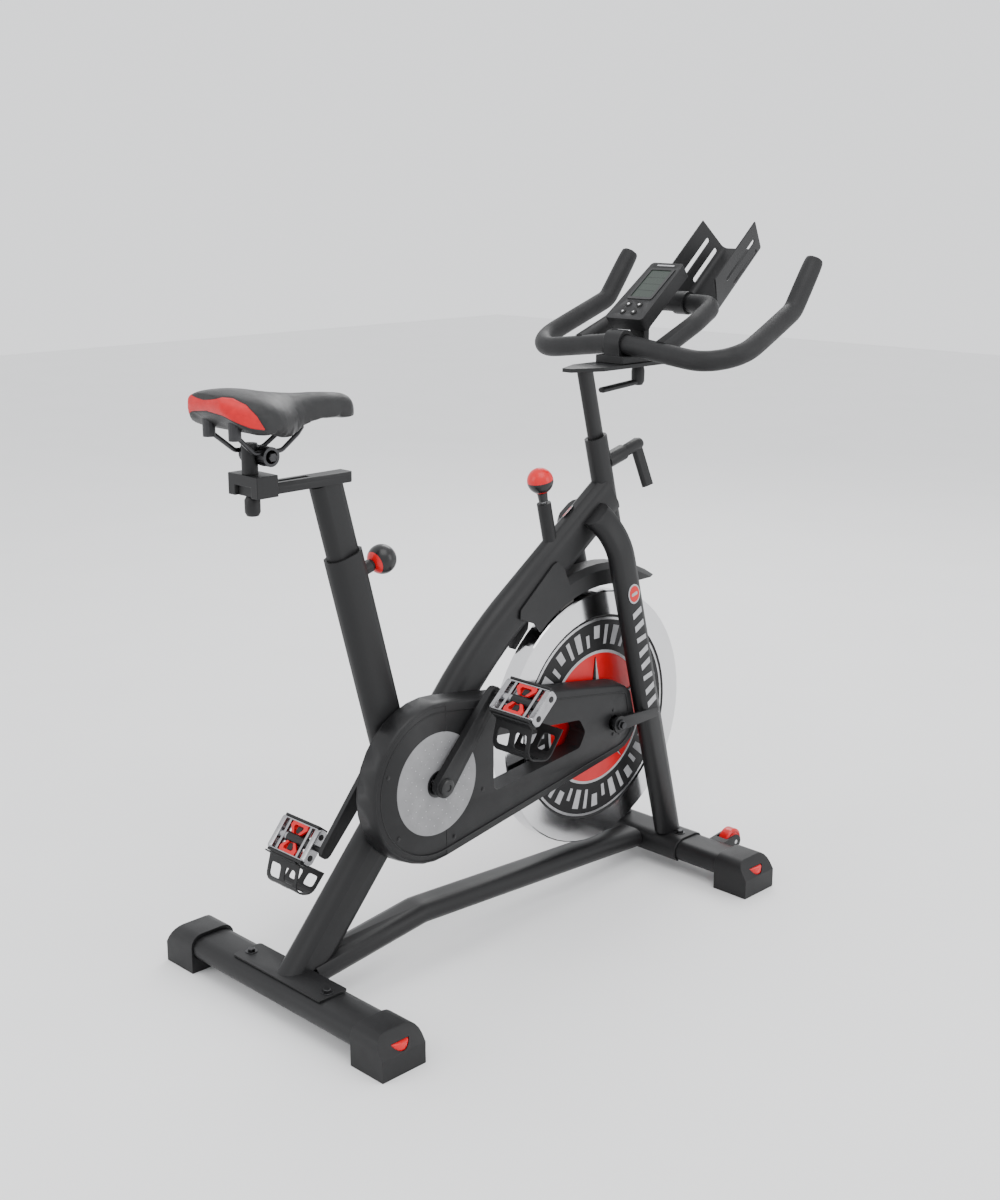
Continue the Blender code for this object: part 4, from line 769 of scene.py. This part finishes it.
def build_cover_details():
    """Smooth shell of the belt cover with its beads, grey dimpled disc, rivets and screws."""
    low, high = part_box("belt_cover_outer")
    outer = low.x
    rear_radius = high.y - CRANK.y
    front_y = WHEEL.y - COVER_FRONT_SHIFT
    rear, front = (-CRANK.y, CRANK.z), (-front_y, WHEEL.z + COVER_FRONT_RISE)
    bead = bmesh.new()
    for inset, sink, thickness in BEADS:
        outline = []
        reach = max(inset - EDGE_ROUND, 0.0006)
        for a, b in loop_points(rear_radius - inset, COVER_FRONT_RADIUS - inset + 0.0015, rear, front):
            found, place, _, _ = NODES["belt_cover_outer"].ray_cast(Vector((-0.2, -a - reach, b)), X)
            if a < -WHEEL.y or found and abs(place.x - outer) < FACE_TOLERANCE:
                outline.append(Vector((outer - sink, -a, b)))
        tube(bead, outline, thickness, 8, closed=True)
    piece("belt_cover_bead", bead, [COVER], "frame")
    piece("belt_cover_shell", cad_copy("belt_cover_outer"), [COVER], "frame",
          ("belt_cover_outer",))
    disc = bmesh.new()
    rows = [(0.0165, LIFT, 0), (0.0165, 0.0030, 1), (0.0215, 0.0030, 1), (0.0220, 0.0016, 1),
            (0.0225, 0.0016, 0), (0.0600, 0.0019, 0), (0.0835, 0.0015, 0), (0.0850, 0.0009, 0),
            (0.0853, LIFT, 0)]
    lathe(disc, rows, Vector((outer, CRANK.y, CRANK.z)), -X, 96, hollow=True)
    for ring, (radius, count) in enumerate(DIMPLES):
        for k in range(count):
            angle = 2 * math.pi * (k + 0.5 * (ring % 2)) / count
            spot = Vector((outer, CRANK.y + radius * math.sin(angle), CRANK.z + radius * math.cos(angle)))
            lathe(disc, [(0.0011, 0.0017, 2), (0.0009, 0.0022, 2), (0.0004, 0.0024, 2)], spot, -X, 8)
    piece("belt_cover_disc", disc, [DISC, GLOSS_BLACK, STEEL], "frame", angle=30)
    for number, (dy, dz) in enumerate(RIVETS):
        spot = Vector((outer + SCREW_SINK, WHEEL.y + dy, WHEEL.z + dz))
        bolt(f"cover_rivet_{number}", spot, -X, 0.0024, 0.0006, 1.4, GLOSS_BLACK)
    for number, angle in enumerate(SCREW_ANGLES):
        spot = Vector((outer + SCREW_SINK, CRANK.y + SCREW_CIRCLE * math.sin(math.radians(angle)),
                       CRANK.z + SCREW_CIRCLE * math.cos(math.radians(angle))))
        bolt(f"cover_screw_{number}", spot, -X, 0.0022, 0.0008, 1.6, GLOSS_BLACK)


# ---------------------------------------------------------------- cranks and pedals

PEDAL_TILT = {"right": math.radians(42), "left": math.radians(50)}
PEDAL_LENGTH, PEDAL_THICKNESS = 0.068, 0.022
CLAW = [(-0.0110, -0.0095), (-0.0210, 0.0020), (-0.0190, 0.0110), (0.0190, 0.0110),
        (0.0210, 0.0020), (0.0110, -0.0095), (0.0050, -0.0095), (0.0120, 0.0010),
        (0.0105, 0.0045), (-0.0105, 0.0045), (-0.0120, 0.0010), (-0.0050, -0.0095)]
COIL_POINTS, COIL_POINTS_PER_TURN = 96, 12
COIL_LENGTH, COIL_RADIUS, COIL_WIRE = 0.028, 0.0036, 0.0009
# Middle and half width of each crank arm's end, measured out from the bike's middle plane.
CRANK_ARM_ENDS = {"right": (0.0740, 0.0105), "left": (0.0875, 0.0088)}


def build_pedal(side):
    """Two-sided pedal: alloy cage, black bars, axle barrel, springs and red cleat claws."""
    low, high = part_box("pedal_" + side)
    axle = joint_place(f"pedal_{side}_spin")
    centre = Vector(((low.x + high.x) / 2, axle.y, axle.z))
    width = high.x - low.x
    tilt = PEDAL_TILT[side]
    forward = Vector((0, -math.cos(tilt), math.sin(tilt)))
    normal = Vector((0, math.sin(tilt), math.cos(tilt)))
    length, thick = PEDAL_LENGTH, PEDAL_THICKNESS
    mesh = bmesh.new()
    for shift in (-1, 1):
        edge = centre + forward * shift * length / 2 + X * width * 0.45
        bars = ((0.0044, 0.0022, thick, 1), (0.0030, 0.0062, thick * 0.96, 0))
        for depth, back, tall, material in bars:
            place = edge - forward * shift * back
            prism(mesh, rounded_rectangle(depth, tall, 0.0014, 3), place, forward, normal,
                  0.0, width * 0.90, material)
        side_foot = centre + X * (shift * (width / 2 - 0.0050) + 0.0050)
        prism(mesh, rounded_rectangle(length - 0.006, thick - 0.001, 0.0070), side_foot, forward, normal,
              0.0, 0.0100, 0, 0.0012)
        for place in (-0.019, 0.019):
            spot = centre + X * shift * (width / 2 - 0.0001) + forward * place
            lathe(mesh, [(0.0052, -0.0006, 1), (0.0052, 0.0004, 1), (0.0040, 0.0008, 1)],
                  spot, X * shift, 20)
    lathe(mesh, [(0.0082, -width * 0.42, 0), (0.0092, -width * 0.38, 0), (0.0092, -width * 0.20, 1),
                 (0.0092, width * 0.20, 1), (0.0092, width * 0.38, 0), (0.0082, width * 0.42, 0)],
          centre, X, 28)
    for face in (-1, 1):
        lift = centre + normal * face * (thick / 2 - 0.0062)
        for shift in (-1, 1):
            foot = lift + forward * shift * 0.0170
            u = X if X.cross(forward * shift).dot(normal * face) > 0 else -X
            across = forward * shift
            prism_ring(mesh, CLAW, foot, u, across, 0.0012, 0.0050, 2)
            prism(mesh, rounded_rectangle(0.0130, 0.0120, 0.0030), foot - across * 0.0020, u, across,
                  -0.0040, 0.0022, 1, 0.0010)
        bridge = rounded_rectangle(0.0300, 0.0120, 0.0030)
        u = X if X.cross(forward).dot(normal * face) > 0 else -X
        prism(mesh, bridge, lift, u, forward, -0.0030, 0.0034, 1, 0.0008)
        for shift in (-1, 1):
            side_bar = lift + X * shift * 0.0265
            prism(mesh, rounded_rectangle(0.0050, length - 0.0120, 0.0020), side_bar, u, forward,
                  0.0, 0.0046, 0, 0.0006)
    for shift in (-1, 1):
        coil = []
        for k in range(COIL_POINTS):
            angle = 2 * math.pi * k / COIL_POINTS_PER_TURN
            along = -COIL_LENGTH / 2 + COIL_LENGTH * k / (COIL_POINTS - 1)
            spot = centre + forward * shift * 0.0215 + X * along
            coil.append(spot + (normal * math.cos(angle) + forward * math.sin(angle)) * COIL_RADIUS)
        tube(mesh, coil, COIL_WIRE, 6)
    piece(f"pedal_cage_{side}", mesh, [ALLOY, PLASTIC, RED_PLASTIC], f"pedal_{side}_body",
          ("pedal_" + side,), angle=30)


def build_crank_caps():
    """Glossy caps over the ends of the crank spindle."""
    for side, sign in SIDES.items():
        middle, half = CRANK_ARM_ENDS[side]
        reach = sign * (middle + half)
        mesh = bmesh.new()
        lathe(mesh, [(0.0135, LIFT, 0), (0.0135, 0.0012, 0), (0.0118, 0.0022, 0), (0.0060, 0.0024, 0),
                     (0.0055, 0.0010, 0)], Vector((reach, CRANK.y, CRANK.z)), X * sign, 40)
        piece("crank_cap_" + side, mesh, [GLOSS_BLACK], "crank", angle=30)


# ---------------------------------------------------------------- knobs and small wheels

def turned_line(node, axis):
    """Foot point on the axis of a turned CAD node, and its length along the axis."""
    points = [vertex.co for vertex in NODES[node].data.vertices]
    middle = sum(points, Vector()) / len(points)
    heights = [point.dot(axis) for point in points]
    foot = middle + axis * (min(heights) - middle.dot(axis))
    return foot, max(heights) - min(heights)


BRAKE_BALL = 0.0222
PIN_BALL_WIDE, PIN_BALL_TALL = 0.0232, 0.0225
PIN_BALL_RISE = 0.0355            # from the pin's collar to the middle of its ball
PIN_KNOB_LENGTH = 0.0580


def build_knobs():
    """Ball knobs of the brake and of the seat pin, each with its coloured rings."""
    up = -joint_axis("brake_push")
    root, span = turned_line("brake_knob", up)
    span -= BRAKE_BALL
    rows = [(0.0052, 0.0, 0), (0.0052, span - 0.0365, 0), (0.0078, span - 0.0360, 1),
            (0.0090, span - 0.0215, 1), (0.0110, span - 0.0200, 1)]
    for k in range(25):
        angle = math.radians(-62 + 152 * k / 24)
        material = 2 if angle > math.radians(4) or math.radians(-58) < angle < math.radians(-44) else 3
        rows.append((BRAKE_BALL * math.cos(angle) + 0.0001,
                     span + BRAKE_BALL * math.sin(angle), material))
    mesh = bmesh.new()
    lathe(mesh, rows, root, up, 48)
    piece("brake_ball", mesh, [STEEL, GLOSS_BLACK, RED_PLASTIC, GLOSS_BLACK], "brake",
          ("brake_knob",), angle=40)
    axis = joint_axis("seat_pin_pull")
    pin, reach = turned_line("seat_pin_knob", axis)
    pin += axis * (reach - PIN_KNOB_LENGTH)
    rows = [(0.0045, -0.0050, 0), (0.0045, 0.0125, 0), (0.0080, 0.0128, 1), (0.0080, 0.0150, 1)]
    for k in range(27):
        angle = math.radians(-68 + 146 * k / 26)
        tint = 2 if -66 < math.degrees(angle) < -38 or math.degrees(angle) > 50 else 1
        rows.append((PIN_BALL_WIDE * math.cos(angle) + 0.0002,
                     PIN_BALL_RISE + PIN_BALL_TALL * math.sin(angle), tint))
    mesh = bmesh.new()
    lathe(mesh, rows, pin, axis, 48)
    piece("seat_pin_ball", mesh, [STEEL, GLOSS_BLACK, RED_PLASTIC], "seat_pin",
          ("seat_pin_knob",), angle=40)


def build_levelers():
    """Knurled red thumbwheels in the feet."""
    for end in ("rear", "front"):
        for side in SIDES:
            node = f"leveler_{end}_{side}"
            low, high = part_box(node)
            centre = (low + high) / 2
            radius = (high.x - low.x) / 2
            top = high.z
            under = top - 0.0124 - low.z
            mesh = bmesh.new()
            lathe(mesh, [(0.0056, 0.0, 1), (0.0056, under, 1),
                         (radius - 0.0012, under, 0), (radius, top - 0.0112 - low.z, 0),
                         (radius, top - 0.0012 - low.z, 0), (radius - 0.0012, top - low.z, 0),
                         (radius - 0.0060, top - low.z, 0)],
                  Vector((centre.x, centre.y, low.z)), Z, 96,
                  radius_at=lambda a: 1 - 0.018 * (0.5 + 0.5 * math.cos(24 * a)))
            piece(f"thumbwheel_{end}_{side}", mesh, [RED_PLASTIC, STEEL], f"leveler_{end}_{side}_body",
                  (node,), angle=50)


def build_transport_wheels():
    """Red wheels on steel pins at the front foot, dished on both sides."""
    for side in SIDES:
        node = "transport_wheel_" + side
        low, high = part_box(node)
        centre = (low + high) / 2
        radius = (high.z - low.z) / 2
        half = (high.x - low.x) / 2
        mesh = bmesh.new()
        lathe(mesh, [(0.0040, -half, 1), (0.0040, -0.0105, 1), (0.0120, -0.0105, 0), (0.0135, -0.0085, 0),
                     (0.0165, -0.0085, 0), (0.0190, -0.0105, 0), (radius - 0.0015, -0.0092, 0),
                     (radius, -0.0078, 0), (radius, 0.0078, 0), (radius - 0.0015, 0.0092, 0),
                     (0.0190, 0.0105, 0), (0.0165, 0.0085, 0), (0.0135, 0.0085, 0), (0.0120, 0.0105, 0),
                     (0.0040, 0.0105, 1), (0.0040, half, 1)], centre, X, 56)
        piece("castor_" + side, mesh, [RED_PLASTIC, STEEL], f"transport_{side}_body",
              (node,), angle=30)


# ---------------------------------------------------------------- console

def outermost(node, origin, out):
    """How far a CAD node reaches from an origin in one direction."""
    return max((vertex.co - origin).dot(out) for vertex in NODES[node].data.vertices)


def build_console():
    """Bezel and rules of the display, a strip above it, and plain symbols on the buttons."""
    out = -joint_axis("button_1_press")
    up = Vector((0, -out.z, out.y))
    low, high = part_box("console_screen")
    middle = (low + high) / 2
    face = middle + out * outermost("console_housing", middle, out)
    mesh = bmesh.new()
    outer = rounded_rectangle(0.0560, 0.0830, 0.0055)
    inner = rounded_rectangle(0.0450, 0.0720, 0.0030)
    rows = []
    for outline, height in ((outer, LIFT), (outer, 0.0010), (inner, 0.0008), (inner, -0.0002)):
        rows.append([mesh.verts.new(face + X * a + up * b + out * height) for a, b in outline])
    for first, second in zip(rows, rows[1:] + rows[:1]):
        skin(mesh, first, second)
    piece("console_bezel", mesh, [GLOSS_BLACK], "bars", angle=30)
    bars = bmesh.new()
    top = face + up * 0.0485
    prism(bars, rounded_rectangle(0.0380, 0.0034, 0.0015), top, -X, up, LIFT, 0.0007, 0, 0.0002)
    piece("console_strip", bars, [MARK], "bars")
    shapes = [circle(0.0026, 3, math.pi / 2), circle(0.0026, 3, -math.pi / 2), circle(0.0022, 20),
              rounded_rectangle(0.0040, 0.0040, 0.0008)]
    for number, shape in enumerate(shapes, 1):
        low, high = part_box(f"console_button_{number}")
        button = (low + high) / 2
        cap_top = outermost(f"console_button_{number}", button, out)
        cap = bmesh.new()
        prism(cap, shape, button + out * cap_top, -X, up, 0.0001, 0.0005)
        piece(f"button_symbol_{number}", cap, [WHITE_MARK], f"button_{number}_body")
    segments = bmesh.new()
    ground = middle + out * outermost("console_screen", middle, out)
    for row in range(3):
        height = -0.0170 + 0.0170 * row
        prism(segments, rounded_rectangle(0.0380, 0.0006, 0.0002, 2), ground + up * height,
              -X, up, 0.00005, 0.00015)
    piece("display_rules", segments, [GLOSS_BLACK], "bars")


# ---------------------------------------------------------------- frame details

def emblem(name, centre, normal, up, width, height):
    """Plain oval badge on the frame: raised grey rim round a red field with a grey bar."""
    across = up.cross(normal).normalized()
    up = normal.cross(across)
    angles = [2 * math.pi * k / 40 for k in range(40)]
    oval = [(width / 2 * math.cos(a), height / 2 * math.sin(a)) for a in angles]
    mesh = bmesh.new()
    prism(mesh, oval, centre, across, up, LIFT, 0.0010, 0, 0.0003)
    prism(mesh, [(a * 0.82, b * 0.82) for a, b in oval], centre, across, up, 0.0010, 0.0014, 1, 0.0002)
    prism(mesh, rounded_rectangle(width * 0.50, height * 0.16, height * 0.06), centre, across, up,
          0.0014, 0.0017, 2)
    piece(name, mesh, [MARK, RED_PAINT, MARK], "frame", angle=30)


LEG_FOOT, LEG_TOP = (-0.1595, 0.0625), (-0.0002, 0.6550)  # y from the wheel's axis, and z
LEG_FACE = 0.0740                 # the legs' outer faces lie this far from the middle plane
LEG_BADGE = 0.5440
BAR_TOP, BAR_STEP, BAR_COUNT, BAR_HALF = 0.5080, 0.0245, 9, 0.0120
SLANTED = [(-BAR_HALF, -0.0085), (BAR_HALF, -0.0025), (BAR_HALF, 0.0085), (-BAR_HALF, 0.0025)]
LEVEL = [(-BAR_HALF, -0.0045), (BAR_HALF, -0.0045), (BAR_HALF, 0.0045), (-BAR_HALF, 0.0045)]


def build_leg_marks():
    """Badge and a plain column of bars on the outer face of each fork leg."""
    for side, sign in SIDES.items():
        foot, top = (Vector((sign * LEG_FACE, WHEEL.y + y, z)) for y, z in (LEG_FOOT, LEG_TOP))
        along = (top - foot).normalized()
        across = along.cross(X * sign).normalized()
        badge = foot + along * ((LEG_BADGE - foot.z) / along.z)
        emblem("leg_badge_" + side, badge, X * sign, along, 0.0300, 0.0360)
        mesh = bmesh.new()
        for k in range(BAR_COUNT):
            height = BAR_TOP - BAR_STEP * k
            spot = foot + along * ((height - foot.z) / along.z)
            prism(mesh, LEVEL if k % 3 == 2 else SLANTED, spot, across, along, LIFT, 0.0006)
        piece("leg_marks_" + side, mesh, [MARK], "frame")


def surface_hit(node, origin, direction):
    """Where a straight line first meets a CAD node, with the surface normal there."""
    found, place, normal, _ = NODES[node].ray_cast(origin, direction)
    return (place, normal) if found else (None, None)


TUBE_BADGE = 0.0635               # y of the main tube's badge from the wheel's axis
TUBE_UP = Vector((0, -0.83, 0.56))
BADGE_SINK = 0.0012
FOOT_BOLT, BRACKET_BOLT = (0.0940, 0.4925, 0.2), (0.0850, -0.3600, 0.2)
GUARD_SCREWS = [(0.1336, 0.6080), (0.2005, 0.5530)]       # y from the wheel's axis, and z


def build_badges_and_bolts():
    """Badge on the main tube, and the screws that show on the frame."""
    origin = Vector((-0.30, WHEEL.y + TUBE_BADGE + 0.12, 0.96))
    target = Vector((-0.012, WHEEL.y + TUBE_BADGE, 0.7077))
    place, normal = surface_hit("main_tube", origin, (target - origin).normalized())
    if place:
        emblem("tube_badge", place - normal * BADGE_SINK, normal, TUBE_UP, 0.0240, 0.0300)
    for side, sign in SIDES.items():
        for name, node, (x, y, z) in (("foot_bolt_", "main_tube", FOOT_BOLT),
                                      ("bracket_bolt_", "front_mount_bracket", BRACKET_BOLT)):
            place, normal = surface_hit(node, Vector((sign * x, y, z)), -Z)
            if place:
                bolt(name + side, place, Z, 0.0062, 0.0042, 1.55)
        for number, (dy, z) in enumerate(GUARD_SCREWS):
            beside = Vector((sign * 0.2, WHEEL.y + dy, z))
            place, normal = surface_hit("flywheel_guard", beside, X * -sign)
            if place and normal.x * sign > 0.9:
                bolt(f"guard_screw_{side}_{number}", place, X * sign, 0.0040, 0.0022, 1.5, GLOSS_BLACK)


def build_grips():
    """Foam-covered bars with smooth round skins and rounded ends."""
    for node, levels in (("handlebar", 2), ("handlebar_loop", 0)):
        mesh = cad_copy(node)
        bmesh.ops.dissolve_limit(mesh, angle_limit=FINELY_FLAT, verts=mesh.verts, edges=mesh.edges)
        if levels:
            ends = [face for face in mesh.faces if len(face.verts) > 8]
            bmesh.ops.inset_individual(mesh, faces=ends, thickness=0.0030)
            bmesh.ops.triangulate(mesh, faces=[face for face in mesh.faces if len(face.verts) > 8])
        made = piece(node + "_grip", mesh, [GRIP], "bars", (node,), angle=50)
        if levels:
            skin = made.modifiers.new("round", "SUBSURF")
            skin.levels = skin.render_levels = levels
            made.data.shade_smooth()


SOFTENED = {
    "frame": ["main_tube", "fork_leg_right", "fork_leg_left", "rear_cap_right", "rear_cap_left",
              "front_cap_right", "front_cap_left", "rear_stabilizer", "front_stabilizer",
              "front_mount_bracket", "flywheel_guard", "seat_tube", "head_tube",
              "transport_bracket_right", "transport_bracket_left", "base_strut"],
    "carriage": ["seat_carriage", "saddle_stem"],
    "seat_post_body": ["seat_post"],
    "bar_post": ["handlebar_post"],
    "bars": ["handlebar_clamp", "console_housing", "media_rack"],
    "crank": ["crank_arm_right", "crank_arm_left"],
    "slider_lever_body": ["slider_lever"],
    "post_clamp_body": ["post_clamp_lever"],
    "carriage_knob_body": ["carriage_knob"],
}


def main():
    dress_cad()
    build_stage()
    build_lights()
    build_camera()
    build_saddle()
    build_saddle_fittings()
    build_flywheel_faces()
    build_cover_details()
    for side in SIDES:
        build_pedal(side)
    build_crank_caps()
    build_knobs()
    build_levelers()
    build_transport_wheels()
    build_console()
    build_grips()
    build_leg_marks()
    build_badges_and_bolts()
    for body, nodes in SOFTENED.items():
        for node in nodes:
            soften(node, body)


main()
